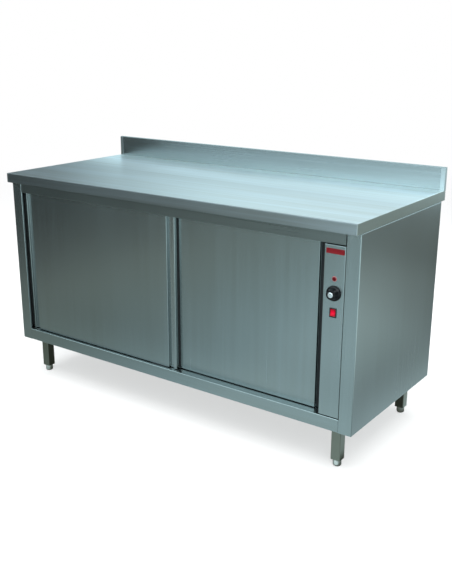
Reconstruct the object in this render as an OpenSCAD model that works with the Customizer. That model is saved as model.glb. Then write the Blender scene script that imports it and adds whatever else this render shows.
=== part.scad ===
// Heated plate cabinet in folded stainless sheet, millimetres.
// It stands on the plane z = 0, centred on the origin. -Y is its front, +X its control end.
// Two hanging doors slide past each other, and a fan heater sits behind the control panel.

/* [Cabinet] */
// Length of the cabinet body
body_l = 1600; // [1500:10:1800]
// Distance of the body's front face from the middle
body_front = 322; // [310:1:330]
// Distance of the body's rear face from the middle
body_rear = 316; // [306:1:324]
// Height of the body's lower edge above the floor
body_bottom = 158; // [140:1:180]
// Width of the two front stiles
stile_w = 50; // [46:1:56]
// Height of the beam below the doors
beam_h = 47; // [40:1:60]
// Height of the rail above the doors
rail_h = 42; // [40:1:44]
// Thickness of the folded sheets
skin = 1; // [0.8:0.1:1.2]
// Radius of the folds at the middle of the sheet
fold_r = 2; // [1.6:0.1:2.4]
// Width of the joint beside the stiles
seam = 1.5; // [1:0.1:2]

/* [Worktop] */
// Height of the worktop above the floor
worktop_z = 880; // [860:1:900]
// Depth of the worktop from front to back
worktop_depth = 700; // [690:1:720]
// Distance of the worktop's ends inside the body's ends
worktop_inset = 2; // [1:0.5:4]
// Height of the worktop's edge
edge_h = 38; // [36:1:40]
// Width of the flange folded back under the edge
under_flange = 20; // [15:1:22]
// Thickness of the worktop sheet
top_skin = 1.5; // [1.2:0.1:1.5]
// Height of the splashback above the worktop
splash_h = 85; // [60:1:120]
// Thickness of the splashback
splash_t = 15; // [12:1:18]

/* [Doors] */
// Width of each door
door_w = 798; // [780:1:800]
// Thickness of each door
door_t = 18; // [18:1:19]
// Distance of the left door's face behind the body's front
left_setback = 16; // [16:1:17]
// Distance of the right door's face behind the body's front
right_setback = 36; // [36:1:37]
// Left edge of the right door, closed
right_door_x = -123; // [-126:1:-120]
// Gap below the doors
door_gap = 3; // [3:0.5:4]
// Height of the doors' top edge above the rail's lower edge
door_lap = 6; // [5:1:7]
// Width of the flange at each end of a door
grip_flange = 14; // [12:1:16]
// Width of the upright finger channel
grip_w = 23; // [20:1:24]
// Depth of the finger channel
grip_d = 10; // [9:1:11]

/* [Tracks and rollers] */
// Radius of the nylon rollers
roller_r = 11; // [10:0.5:11]
// Distance of each hanger from its door's edge
hanger_inset = 70; // [60:1:90]
// Clearance of the door guide in the doors' grooves
guide_play = 1; // [0.8:0.1:1.2]

/* [Heated cavity] */
// Thickness of the insulated left wall
left_wall = 30; // [28:1:32]
// Thickness of the insulated back wall
back_wall = 44; // [40:1:48]
// Left face of the partition beside the heater
partition_x = 690; // [688:1:692]
// Height of the shelf's top face
shelf_z = 500; // [470:5:520]

/* [Controls] */
// Left edge of the control panel
panel_x = 672; // [671:1:673]
// Height of the badge plate's centre
badge_z = 776; // [774:1:778]
// Height of the pilot lamp's centre
lamp_z = 686; // [682:1:700]
// Height of the thermostat knob's centre
knob_z = 638; // [634:1:642]
// Height of the rocker switch's centre
switch_z = 573; // [566:1:580]
// Radius of the knob's skirt
knob_r = 25.5; // [23:0.5:27]

/* [Legs and feet] */
// Width of the square leg tubes
leg_w = 36; // [35:1:40]
// Distance of the legs' centres from the middle, along the length
leg_x = 721; // [700:1:730]
// Distance of the front legs' centres from the middle
leg_front = 259; // [250:1:259]
// Distance of the rear legs' centres from the middle
leg_rear = 261; // [250:1:264]
// Height of the foot that shows below a leg
foot_show = 27; // [24:1:32]
// Radius of the feet
foot_r = 15; // [14:0.5:17]

/* [Hidden] */
$fn = 48;

steel = [0.62, 0.69, 0.70];     // outer stainless sheets
liner = [0.55, 0.60, 0.61];     // inner stainless sheets
cut = 1;                        // overrun of a cut past the face that it goes through
play = 0.3;                     // gap between parts that move past each other
half_l = body_l / 2;
front = -body_front;
rear = body_rear;
top_half = half_l - worktop_inset;
top_front = -worktop_depth / 2;
top_rear = worktop_depth / 2;
splash_front = top_rear - splash_t;         // front face of the splashback
splash_foot = worktop_z - top_skin;         // its lower edge, on the board under the worktop
under_top = worktop_z - edge_h;             // top of the body, underside of the worktop's edge
rail_bottom = under_top - rail_h;
beam_top = body_bottom + beam_h;
inner_x = half_l - stile_w;                 // inner edges of the stiles
pan_z = body_bottom + skin;                 // the base pan lies on the lower flanges
door_z0 = beam_top + door_gap;
door_z1 = rail_bottom + door_lap;
left_door_x = -inner_x;
left_y = front + left_setback;              // front faces of the doors
right_y = front + right_setback;
liner_x = -half_l + left_wall;              // left face of the cavity
liner_y = rear - back_wall;                 // back face of the cavity
cavity_front = front + 60;                  // front edges of the cavity's floor and ceiling
track_t = 1.5;                              // wall of the double track
tread_half = 8.5;                           // half the inner width of a track
slot_half = 3;                              // half the slot that the hangers pass through
track_top = under_top - skin;
track_floor = track_top - track_t - 2 * roller_r - 1.5;
roller_z = track_floor + roller_r + play;
axle_r = 2.5;
fit = 0.05;                                 // radial clearance of shafts in their holes
shelf_drop = 25;                            // height of the shelf's folded edges
panel_right = inner_x - seam;
panel_y = front + 2;                        // face of the control panel
panel_back_y = panel_y + 30;
panel_top = rail_bottom - 4.5;              // leaves the seam under the rail
lamp_r = 6.5;                               // radius of the pilot lamp's body
control_x = 712;                            // line of the lamp, knob and switch
fan = [-20, 600];                           // y and z of the fan's axis
fan_w = 119;                                // side of the square fan frame
fan_d = 38;                                 // depth of the fan frame
outlet = [-20, 320];                        // y and z of the warm air outlet
outlet_size = [150, 60];
gland = [745, 235];                         // x and z of the cable gland
gland_bore_r = 5;
plate_w = 80;                               // square plates on the legs
plate_t = 4;
bolt_inset = 28;                            // leg bolts' distance from the leg's axis
bolt_r = 4;
panel_screw_z = [200, 400, 600, 800];       // heights of the back panel's screws

// ---- Helpers ----

module block(low, high) translate(low) cube(high - low);

// An outline in (y, z), run along X
module along_x(from, to)
    translate([from, 0, 0]) rotate([90, 0, 90]) linear_extrude(to - from) children();

// An outline in (x, z), run along Y
module along_y(from, to)
    translate([0, to, 0]) rotate([90, 0, 0]) linear_extrude(to - from) children();

// An outline in (x, y), run along Z
module along_z(from, to) translate([0, 0, from]) linear_extrude(to - from) children();

// A cylinder whose axis lies along Y
module rod_y(r, from, to) translate([0, from, 0]) rotate([-90, 0, 0]) cylinder(r = r, h = to - from);

// A cylinder whose axis lies along X
module rod_x(r, from, to) translate([from, 0, 0]) rotate([0, 90, 0]) cylinder(r = r, h = to - from);

// Rectangle with round corners
module rounded(low, high, r) {
    translate([low.x + r, low.y]) square([high.x - low.x - 2 * r, high.y - low.y]);
    translate([low.x, low.y + r]) square([high.x - low.x, high.y - low.y - 2 * r]);
    for (x = [low.x + r, high.x - r], y = [low.y + r, high.y - r]) translate([x, y]) circle(r);
}

// What a fold of outer radius r takes off the sharp corner p; side points into the metal
module fold_cut(p, side, r) difference() {
    translate(p + side * (r - cut) / 2) square(r + cut, center = true);
    translate(p + side * r) circle(r);
}

// Cut outline of a sheet of thickness t whose mid-plane follows a path with square corners
module folded(path, t = skin, r = fold_r) {
    last = len(path) - 1;
    function way(i) = (path[i + 1] - path[i]) / norm(path[i + 1] - path[i]);
    for (i = [0:last - 1]) {
        from = path[i] + way(i) * (i == 0 ? 0 : r);
        to = path[i + 1] - way(i) * (i == last - 1 ? 0 : r);
        side = [way(i).y, way(i).x] * t / 2;
        low = [min(from.x, to.x) - abs(side.x), min(from.y, to.y) - abs(side.y)];
        high = [max(from.x, to.x) + abs(side.x), max(from.y, to.y) + abs(side.y)];
        translate(low) square(high - low);
    }
    for (i = [1:1:last - 1]) {
        reach = r + t / 2;
        centre = path[i] - way(i - 1) * r + way(i) * r;
        outward = way(i - 1) - way(i);
        intersection() {
            translate(centre + outward * reach / 2) square(reach, center = true);
            translate(centre) difference() {
                circle(reach);
                circle(r - t / 2);
            }
        }
    }
}

// ---- Worktop ----

module worktop_form(inset) intersection() {
    along_x(-top_half + inset, top_half - inset)
        rounded([top_front + inset, under_top + inset],
            [top_rear - top_skin - inset, worktop_z - inset], fold_r + 0.5 - inset * 0.8);
    along_y(top_front - cut, top_rear)
        rounded([-top_half + inset, under_top + inset],
            [top_half - inset, worktop_z - inset], fold_r + 0.5 - inset * 0.8);
}

module worktop() color(steel) difference() {
    worktop_form(0);
    worktop_form(top_skin);
    block([-top_half + under_flange, top_front + under_flange, under_top - cut],
        [top_half - under_flange, top_rear - under_flange, under_top + top_skin + cut]);
    block([-top_half - cut, splash_front, splash_foot], [top_half + cut, top_rear, worktop_z + cut]);
}

module worktop_board() color("burlywood")
    block([-top_half + 16, top_front + 16, worktop_z - top_skin - 18],
        [top_half - 16, top_rear - 18, worktop_z - top_skin]);

// Upstand that rises from the rear edge of the worktop's top, closed at its ends
module splashback() color(steel) {
    t = 1.2;
    path = [[splash_front + t / 2, splash_foot],
        [splash_front + t / 2, worktop_z + splash_h - t / 2],
        [top_rear - t / 2, worktop_z + splash_h - t / 2],
        [top_rear - t / 2, under_top]];
    along_x(-top_half, top_half) folded(path, t);
    for (x = [-top_half, top_half - t])
        block([x, splash_front + t / 2, splash_foot],
            [x + t, top_rear - t / 2, worktop_z + splash_h - t / 2]);
}

// ---- Body ----

// Side panel at the left: side, front stile with its hem, and a rear flange
module side_sheet() difference() {
    union() {
        along_z(body_bottom, under_top)
            folded([[-half_l + 18, rear - skin * 1.5], [-half_l + skin / 2, rear - skin * 1.5],
                [-half_l + skin / 2, front + skin / 2], [-inner_x - skin / 2, front + skin / 2],
                [-inner_x - skin / 2, front + 7]]);
        block([-half_l + skin / 2, front + 3, under_top - 2], [-half_l + 18, rear - 2, under_top]);
        block([-half_l + skin / 2, front + 3, body_bottom], [-half_l + 15, rear - 2, body_bottom + skin]);
    }
    along_y(front - cut, rear + cut) fold_cut([-half_l, under_top], [1, -1], 2);
    for (z = panel_screw_z) translate([-half_l + 9, 0, z]) rod_y(2.1, rear - 4, rear);
}

module left_side_panel() color(steel) side_sheet();

module right_side_panel() color(steel) mirror([1, 0, 0]) side_sheet();

module back_panel() color(steel) difference() {
    block([-half_l + 1.5, rear - skin, body_bottom + 2], [half_l - 1.5, rear, under_top]);
    for (x = [-1, 1] * (half_l - 9), z = panel_screw_z)
        translate([x, 0, z]) rod_y(2.1, rear - 3, rear + cut);
    translate([gland.x, 0, gland.y]) rod_y(8.2, rear - 3, rear + cut);
}

module base_pan() color(liner) difference() {
    block([-half_l + 4, front + 8, pan_z], [half_l - 4, rear - 5, pan_z + skin]);
    for_legs() leg_bolt_places() translate([0, 0, pan_z - cut]) cylinder(r = bolt_r + 0.2, h = 4);
}

module bottom_beam() color(steel)
    along_x(-inner_x + 0.4, inner_x - 0.4)
        folded([[cavity_front, beam_top - skin / 2], [front + skin / 2, beam_top - skin / 2],
            [front + skin / 2, body_bottom + skin / 2], [front + 17, body_bottom + skin / 2]]);

module top_rail() color(steel)
    along_x(-inner_x + seam, inner_x - seam)
        folded([[front + 13, rail_bottom + skin / 2], [front + skin / 2, rail_bottom + skin / 2],
            [front + skin / 2, under_top - skin / 2], [cavity_front, under_top - skin / 2]]);

// Double track: one channel for each door's rollers, open below for the hangers
module top_track() color("silver") along_x(liner_x + 2, partition_x - 2) difference() {
    translate([left_y + door_t / 2 - tread_half - track_t, track_floor - track_t])
        square([right_y - left_y + 2 * (tread_half + track_t), track_top - track_floor + track_t]);
    for (y = [left_y, right_y]) {
        translate([y + door_t / 2 - tread_half, track_floor])
            square([2 * tread_half, track_top - track_t - track_floor]);
        translate([y + door_t / 2 - slot_half, track_floor - track_t - cut])
            square([2 * slot_half, track_t + 2 * cut]);
    }
}

// ---- Heated cavity ----

// The floor has a tongue that closes the corner behind the left stile
module cavity_floor() color(liner) {
    block([liner_x, cavity_front, beam_top - skin], [partition_x, liner_y, beam_top]);
    block([liner_x + skin, front + 9, beam_top - skin], [-inner_x - skin, cavity_front + 1, beam_top]);
}

// Back and left wall in one sheet, folded behind the left stile
module cavity_liner() color(liner) along_z(beam_top, rail_bottom)
    folded([[partition_x, liner_y + skin / 2], [liner_x + skin / 2, liner_y + skin / 2],
        [liner_x + skin / 2, front + 8], [-half_l + 3, front + 8]]);

module cavity_ceiling() color(liner) along_x(liner_x, partition_x)
    folded([[liner_y, rail_bottom + skin / 2], [cavity_front - skin / 2, rail_bottom + skin / 2],
        [cavity_front - skin / 2, under_top - skin]]);

// Wall between the cavity and the heater, with the fan's opening and the outlet
module partition() color(liner) difference() {
    along_z(beam_top, rail_bottom)
        folded([[partition_x + 12, panel_back_y - skin / 2],
            [partition_x + skin / 2, panel_back_y - skin / 2], [partition_x + skin / 2, liner_y]]);
    translate([0, fan.x, fan.y]) rod_x(54, partition_x - cut, partition_x + 3);
    block([partition_x - cut, outlet.x - outlet_size.x / 2, outlet.y - outlet_size.y / 2],
        [partition_x + 3, outlet.x + outlet_size.x / 2, outlet.y + outlet_size.y / 2]);
}

// Mineral wool slabs under, behind, left of and above the cavity, and at the right end
module insulation() color("khaki") {
    low = pan_z + 9;
    block([-half_l + 3, front + 22, low], [partition_x - 1, rear - 5, beam_top - skin]);
    block([liner_x + 2, liner_y + skin, beam_top + 1], [partition_x - 1, rear - 5, under_top - 2]);
    block([-half_l + skin, front + 12, beam_top + 1], [liner_x, rear - 5, under_top - 3]);
    block([liner_x + 2, cavity_front + 3, rail_bottom + skin], [partition_x - 1, liner_y, under_top - 2]);
    block([half_l - left_wall, front + 12, low], [half_l - skin, rear - 5, under_top - 3]);
}

module shelf() color(liner) along_x(liner_x + 6, partition_x - 6)
    folded([[cavity_front + 24, shelf_z - shelf_drop + skin / 2],
        [cavity_front + 7, shelf_z - shelf_drop + skin / 2],
        [cavity_front + 7, shelf_z - skin / 2], [liner_y - 9, shelf_z - skin / 2],
        [liner_y - 9, shelf_z - shelf_drop + skin / 2], [liner_y - 26, shelf_z - shelf_drop + skin / 2]]);

// Angle rails that carry the shelf, one on each end wall
module shelf_supports() color(liner) {
    top = shelf_z - shelf_drop;
    for (side = [0, 1])
        translate([side == 0 ? liner_x + skin : partition_x, 0, 0]) mirror([side, 0, 0])
            along_y(cavity_front + 12, liner_y - 15)
                folded([[0.75, top - 20], [0.75, top - 0.75], [20, top - 0.75]], 1.5);
}

// ---- Legs and feet ----

module at_leg(x, y) translate([x, y, 0]) children();

module for_legs() for (x = [-leg_x, leg_x], y = [-leg_front, leg_rear]) at_leg(x, y) children();

module leg_bolt_places() for (x = [-1, 1] * bolt_inset, y = [-1, 1] * bolt_inset)
    translate([x, y, 0]) children();

// Square tube welded under a bolted plate
module leg() color([0.42, 0.45, 0.42]) {
    half = leg_w / 2;
    along_z(foot_show, pan_z - plate_t) difference() {
        rounded([-half, -half], [half, half], 3);
        rounded([-half + 1.5, -half + 1.5], [half - 1.5, half - 1.5], 1.5);
    }
    difference() {
        along_z(pan_z - plate_t, pan_z) rounded([-plate_w / 2, -plate_w / 2], [plate_w / 2, plate_w / 2], 4);
        leg_bolt_places() translate([0, 0, pan_z - plate_t - cut])
            cylinder(r = bolt_r + 0.2, h = plate_t + 2 * cut);
    }
}

module leg_front_left() at_leg(-leg_x, -leg_front) leg();
module leg_front_right() at_leg(leg_x, -leg_front) leg();
module leg_rear_left() at_leg(-leg_x, leg_rear) leg();
module leg_rear_right() at_leg(leg_x, leg_rear) leg();

// Threaded plugs driven into the tubes
module foot_inserts() color("dimgray") for_legs() difference() {
    half = leg_w / 2 - 1.5;
    along_z(foot_show + 1, foot_show + 21) rounded([-half, -half], [half, half], 1.5);
    translate([0, 0, foot_show]) cylinder(r = 5 + fit, h = 30);
}

// Round adjustable foot with its screw stem
module foot() color("gainsboro") {
    rotate_extrude() difference() {
        square([foot_r, foot_show - play]);
        fold_cut([foot_r, 0], [-1, 1], 8);
        fold_cut([foot_r, foot_show - play], [-1, -1], 1);
    }
    translate([0, 0, foot_show - play - 1]) cylinder(r = 5, h = 52);
}

module foot_front_left() at_leg(-leg_x, -leg_front) foot();
module foot_front_right() at_leg(leg_x, -leg_front) foot();
module foot_rear_left() at_leg(-leg_x, leg_rear) foot();
module foot_rear_right() at_leg(leg_x, leg_rear) foot();

// ---- Doors: x is a door's left edge and y its front face ----

grip_total = grip_flange + grip_w;

// Front sheet, turned back into the finger channels and under the groove's front half
module door_skin(x, y) color(steel) {
    left = x + grip_total + skin / 2;
    right = x + door_w - grip_total - skin / 2;
    along_z(door_z0, door_z1)
        folded([[left, y + grip_d], [left, y + skin / 2], [right, y + skin / 2], [right, y + grip_d]],
            skin, 1.5);
    block([left, y + skin / 2, door_z0], [right, y + door_t / 2 - slot_half, door_z0 + skin]);
}

// Rear sheet with the closed top that carries the hangers and the groove's rear half
module door_back(x, y) color(liner) {
    left = x + grip_total + skin * 2;
    right = x + door_w - grip_total - skin * 2;
    block([x, y + door_t - skin, door_z0], [x + door_w, y + door_t, door_z1]);
    block([left, y + skin, door_z1 - 2], [right, y + door_t - skin / 2, door_z1]);
    block([left, y + door_t / 2 + slot_half, door_z0], [right, y + door_t - skin / 2, door_z0 + skin]);
}

// The two folded ends: finger channel, flange and closing edge
module door_grips(x, y) color(steel) for (side = [0, 1])
    translate([side == 0 ? x : x + door_w, 0, 0]) mirror([side, 0, 0])
        along_z(door_z0, door_z1)
            folded([[grip_total + skin * 1.5, y + grip_d + skin / 2],
                [grip_flange - skin / 2, y + grip_d + skin / 2], [grip_flange - skin / 2, y + skin / 2],
                [skin / 2, y + skin / 2], [skin / 2, y + door_t - skin]], skin, 1.5);

// Wool filling above the groove
module door_core(x, y) color("khaki")
    block([x + grip_total + skin * 2, y + skin, door_z0 + 16],
        [x + door_w - grip_total - skin * 2, y + door_t - skin, door_z1 - 2]);

function hanger_x(x, side) = side == 0 ? x + hanger_inset : x + door_w - hanger_inset;

// Steel hangers welded on the door's top: a foot, and a blade with the axle's hole
module door_hangers(x, y) color("gray") for (side = [0, 1])
    translate([hanger_x(x, side), y + door_t / 2, 0]) difference() {
        union() {
            block([-26, 2 - door_t / 2, door_z1], [26, door_t / 2 - 2, door_z1 + 2.5]);
            block([-10, -1.25, door_z1 + 2], [10, 1.25, roller_z]);
            translate([0, 0, roller_z]) rod_y(10, -1.25, 1.25);
        }
        translate([0, 0, roller_z]) rod_y(axle_r + fit, -3, 3);
    }

// Two wheels on one axle, either side of the hanger's blade
module door_roller(x, y, side) color("whitesmoke")
    translate([hanger_x(x, side), y + door_t / 2, roller_z]) {
        for (wheel = [0, 1]) mirror([0, wheel, 0]) rotate([-90, 0, 0]) rotate_extrude()
            polygon([[0, 3.2], [roller_r - 0.6, 3.2], [roller_r, 3.8], [roller_r, 6.6],
                [roller_r - 0.6, 7.2], [4, 7.2], [4, 7.8], [0, 7.8]]);
        rod_y(axle_r, -3.6, 3.6);
    }

module left_door_skin() door_skin(left_door_x, left_y);
module left_door_back() door_back(left_door_x, left_y);
module left_door_grips() door_grips(left_door_x, left_y);
module left_door_core() door_core(left_door_x, left_y);
module left_door_hangers() door_hangers(left_door_x, left_y);
module left_door_roller_a() door_roller(left_door_x, left_y, 0);
module left_door_roller_b() door_roller(left_door_x, left_y, 1);
module right_door_skin() door_skin(right_door_x, right_y);
module right_door_back() door_back(right_door_x, right_y);
module right_door_grips() door_grips(right_door_x, right_y);
module right_door_core() door_core(right_door_x, right_y);
module right_door_hangers() door_hangers(right_door_x, right_y);
module right_door_roller_a() door_roller(right_door_x, right_y, 0);
module right_door_roller_b() door_roller(right_door_x, right_y, 1);

// Black strip behind the left door's right edge, closing the gap to the right door
module left_door_seal() color("black") {
    edge = left_door_x + door_w;
    block([edge - 14, left_y + door_t, door_z0 + 2], [edge + 5, left_y + door_t + 1.2, door_z1 - 8]);
}

// Block with one fin in each door's groove, where the doors overlap
module door_guide() color("black") {
    x0 = (right_door_x + left_door_x + door_w) / 2 - 40;
    fin = slot_half - guide_play;
    block([x0, left_y + 1, beam_top], [x0 + 80, right_y + door_t - 1, door_z0 - 1]);
    for (y = [left_y, right_y])
        block([x0, y + door_t / 2 - fin, beam_top + skin], [x0 + 80, y + door_t / 2 + fin, door_z0 + 8]);
}

// Rubber buffers that the closed doors rest against
module door_stops() color([0.06, 0.06, 0.07]) {
    block([liner_x + skin, left_y + 3, beam_top + 10],
        [left_door_x - play, left_y + door_t - 1, rail_bottom - 2]);
    block([right_door_x + door_w + play, right_y + 2, beam_top + 10],
        [partition_x, right_y + door_t - 2, rail_bottom - 2]);
}

// ---- Controls ----

// Shallow tray that closes the heater's compartment beside the right door
module control_panel() color(steel) difference() {
    union() {
        along_z(door_z0, panel_top)
            folded([[partition_x, panel_back_y - skin / 2], [panel_x + skin / 2, panel_back_y - skin / 2],
                [panel_x + skin / 2, panel_y + skin / 2], [panel_right - skin / 2, panel_y + skin / 2],
                [panel_right - skin / 2, panel_y + 14]], skin, 2.5);
        for (z = [door_z0, panel_top - skin])
            block([panel_x + skin, panel_y + skin / 2, z], [panel_right - skin, panel_y + 14, z + skin]);
    }
    translate([control_x, 0, lamp_z]) rod_y(lamp_r + 0.2, panel_y - cut, panel_y + 3);
    translate([control_x, 0, knob_z]) rod_y(5.5, panel_y - cut, panel_y + 3);
    block([control_x - 11, panel_y - cut, switch_z - 14.5], [control_x + 11, panel_y + 3, switch_z + 14.5]);
}

module badge_plate() color("firebrick") along_y(panel_y - 1.2, panel_y)
    rounded([control_x - 32.5, badge_z - 8.5], [control_x + 32.5, badge_z + 8.5], 2);

module pilot_lamp() color("darkred") translate([control_x, panel_y, lamp_z]) {
    rod_y(lamp_r + 2.5, -1.2, 0);
    translate([0, -1.2, 0]) rotate([90, 0, 0]) cylinder(r1 = lamp_r, r2 = lamp_r - 1.8, h = 2.6);
    rod_y(lamp_r, -1, 26);
}

// Thermostat body with its bush, and the feeler behind the fan's intake
module thermostat() color("dimgray") {
    body_y = panel_y + skin;
    feeler_x = partition_x + 28;
    difference() {
        union() {
            block([control_x - 19, body_y + 3, knob_z - 19], [control_x + 19, body_y + 27, knob_z + 19]);
            translate([control_x, 0, knob_z]) rod_y(5.2, panel_y - 3, body_y + 4);
        }
        translate([control_x, 0, knob_z]) rod_y(3 + fit, panel_y - 5, body_y + 23);
    }
    translate([feeler_x, 0, knob_z + 10]) rod_y(1, body_y + 26, -170);
    translate([feeler_x, 0, knob_z + 10]) rod_y(3, -170, -100);
}

module thermostat_spindle() color("silver") translate([control_x, 0, knob_z])
    rod_y(3, panel_y - 18, panel_y + 20);

module control_knob() color([0.07, 0.08, 0.09]) translate([control_x, panel_y, knob_z]) difference() {
    rotate([90, 0, 0]) rotate_extrude()
        polygon([[0, 1], [knob_r - 0.8, 1], [knob_r, 1.8], [knob_r, 4], [knob_r - 1.5, 5.5], [20.5, 6.5],
            [19, 8], [17.5, 21], [15.5, 23], [0, 23]]);
    for (i = [0:11]) rotate([0, i * 30, 0]) translate([20.6, 0, 0]) rod_y(2.6, -24, -7.5);
    rod_y(8, -4.5, 0);
    rod_y(3 + fit, -18, -4);
    rod_y(9.5 + fit, -24, -21);
}

module knob_cap() color("gainsboro") translate([control_x, panel_y, knob_z]) difference() {
    rotate([90, 0, 0]) rotate_extrude()
        polygon([[0, 21], [9.5, 21], [9.5, 24.6], [8.7, 25.6], [0, 26]]);
    rotate([0, 35, 0]) block([-9, -27, -0.9], [9, -24.9, 0.9]);
}

// The rocker turns about this line
rocker_y = panel_y + 2;
rocker_reach = 12;

module switch_housing() color([0.05, 0.05, 0.06]) difference() {
    union() {
        along_y(panel_y - 2, panel_y)
            rounded([control_x - 12.5, switch_z - 16], [control_x + 12.5, switch_z + 16], 1.5);
        block([control_x - 10.8, panel_y - 1, switch_z - 14.2],
            [control_x + 10.8, panel_y + 22, switch_z + 14.2]);
    }
    block([control_x - 9.3, panel_y - 3, switch_z - rocker_reach - 0.6],
        [control_x + 9.3, panel_y + 15, switch_z + rocker_reach + 0.6]);
}

module switch_rocker() color("red") translate([0, rocker_y, switch_z]) rotate([-10, 0, 0])
    along_x(control_x - 8.9, control_x + 8.9) intersection() {
        circle(rocker_reach);
        polygon([[4, -rocker_reach], [4, rocker_reach], [-5.4, rocker_reach], [-3.4, 0],
            [-5.4, -rocker_reach]]);
    }

module terminal_block() color("ivory") difference() {
    block([partition_x + skin, -226, 262], [partition_x + 21, -180, 280]);
    for (i = [0:2]) translate([partition_x + 11, -217 + i * 14, 0]) {
        translate([0, 0, 271]) cylinder(r = 3, h = 10);
        translate([0, 0, 261]) cylinder(r = 1, h = 20);
    }
}

// Ring of points of radius r round p, square to the way d
function ring(p, d, r, sides) =
    let (a = abs(d.z) < 0.9 ? [0, 0, 1] : [1, 0, 0], u = cross(d, a) / norm(cross(d, a)), v = cross(d, u))
    [for (i = [0:sides - 1]) p + r * (u * cos(i * 360 / sides) + v * sin(i * 360 / sides))];

// Smooth curve through four hand points, in steps
function curve(a, b, c, d, t) =
    a * pow(1 - t, 3) + 3 * b * t * pow(1 - t, 2) + 3 * c * t * t * (1 - t) + d * pow(t, 3);

// A wire from a to d that leaves towards b and arrives from c
module wire(a, b, c, d, r = 1.3, steps = 10, sides = 6) {
    points = [for (i = [0:steps]) curve(a, b, c, d, i / steps)];
    way = [for (i = [0:steps])
        let (w = i == 0 ? b - a : i == steps ? d - c : points[i + 1] - points[i - 1]) w / norm(w)];
    rings = [for (i = [0:steps]) each ring(points[i], way[i], r, sides)];
    tube = [for (i = [0:steps - 1], j = [0:sides - 1])
        let (k = (j + 1) % sides) [i * sides + j, (i + 1) * sides + j, (i + 1) * sides + k, i * sides + k]];
    ends = [[for (j = [0:sides - 1]) j], [for (j = [sides - 1:-1:0]) steps * sides + j]];
    polyhedron(rings, concat(tube, ends));
}

// Wires from the switch and thermostat to the terminal block, and from the lamp to the thermostat
module wiring() color("sienna") {
    block_x = partition_x + 11;
    switch_back = panel_y + 22;
    thermostat_back = panel_y + skin + 27;
    clamp_z = 271;
    wire([control_x - 5, switch_back, switch_z], [control_x - 5, switch_back + 48, switch_z],
        [block_x, -217, 340], [block_x, -217, clamp_z]);
    wire([control_x + 5, switch_back, switch_z], [control_x + 5, switch_back + 88, switch_z],
        [block_x, -203, 360], [block_x, -203, clamp_z]);
    wire([control_x, thermostat_back, knob_z - 8], [control_x, thermostat_back + 86, knob_z - 8],
        [block_x, -189, 400], [block_x, -189, clamp_z]);
    wire([control_x, panel_y + 26, lamp_z], [control_x, panel_y + 70, lamp_z],
        [control_x, thermostat_back + 46, knob_z + 4], [control_x, thermostat_back, knob_z + 4]);
}

// ---- Air heating ----

// Slotted covers over the fan's opening and the outlet, on the cavity's side
module air_grilles() color(liner) {
    difference() {
        block([partition_x - 1.5, fan.x - 66, fan.y - 66], [partition_x, fan.x + 66, fan.y + 66]);
        for (i = [-5:5]) block([partition_x - 3, fan.x - 50, fan.y + i * 10 - 2.5],
            [partition_x + cut, fan.x + 50, fan.y + i * 10 + 2.5]);
    }
    difference() {
        block([partition_x - 1.5, outlet.x - 85, outlet.y - 38], [partition_x, outlet.x + 85, outlet.y + 38]);
        for (i = [-2:2]) block([partition_x - 3, outlet.x - 70, outlet.y + i * 12 - 3],
            [partition_x + cut, outlet.x + 70, outlet.y + i * 12 + 3]);
    }
}

fan_x = partition_x + skin;

// Square fan frame with the motor's stub axle on three arms
module fan_frame() color([0.15, 0.15, 0.16]) {
    difference() {
        along_x(fan_x, fan_x + fan_d) translate(fan)
            rounded([-fan_w / 2, -fan_w / 2], [fan_w / 2, fan_w / 2], 5);
        translate([0, fan.x, fan.y]) rod_x(54, fan_x - cut, fan_x + fan_d + cut);
        for (y = [-52.5, 52.5], z = [-52.5, 52.5])
            translate([0, fan.x + y, fan.y + z]) rod_x(2.2, fan_x - cut, fan_x + fan_d + cut);
    }
    translate([0, fan.x, fan.y]) {
        rod_x(21, fan_x + fan_d - 5, fan_x + fan_d);
        rod_x(3, fan_x + 8, fan_x + fan_d - 4);
        for (a = [90, 210, 330]) rotate([a, 0, 0])
            block([fan_x + fan_d - 5, 18, -4], [fan_x + fan_d - 1, 56, 4]);
    }
}

module fan_impeller() color("dimgray") translate([0, fan.x, fan.y]) difference() {
    union() {
        rod_x(21, fan_x + 3, fan_x + fan_d - 7);
        for (i = [0:6]) rotate([i * 360 / 7, 0, 0]) translate([fan_x + 18, 0, 0]) rotate([0, 0, 35])
            block([-13, -1, 18], [13, 1, 51]);
    }
    rod_x(3 + fit, fan_x + 7, fan_x + fan_d);
}

// Sheathed heating rod bent back and forth in front of the outlet
module heater_element() color("darkgray") {
    x = fan_x + 20;
    r = 4;
    pitch = 30;
    runs = 4;
    y0 = outlet.x - 80;
    y1 = outlet.x + 80;
    z0 = outlet.y - pitch * (runs - 1) / 2;
    for (i = [0:runs - 1]) translate([x, 0, z0 + i * pitch])
        rod_y(r, i == 0 || i == runs - 1 ? y0 - 30 : y0, y1);
    for (i = [0:runs - 2]) translate([x, i % 2 == 0 ? y1 : y0, z0 + (i + 0.5) * pitch])
        rotate([0, 90, 0]) rotate([0, 0, i % 2 == 0 ? 0 : 180]) intersection() {
            rotate_extrude() translate([pitch / 2, 0]) circle(r);
            translate([-40, 0, -10]) cube([80, 40, 20]);
        }
    for (y = [outlet.x - 60, outlet.x + 60])
        block([fan_x, y - 1, z0 - 12], [x, y + 1, z0 + (runs - 1) * pitch + 12]);
}

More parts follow.
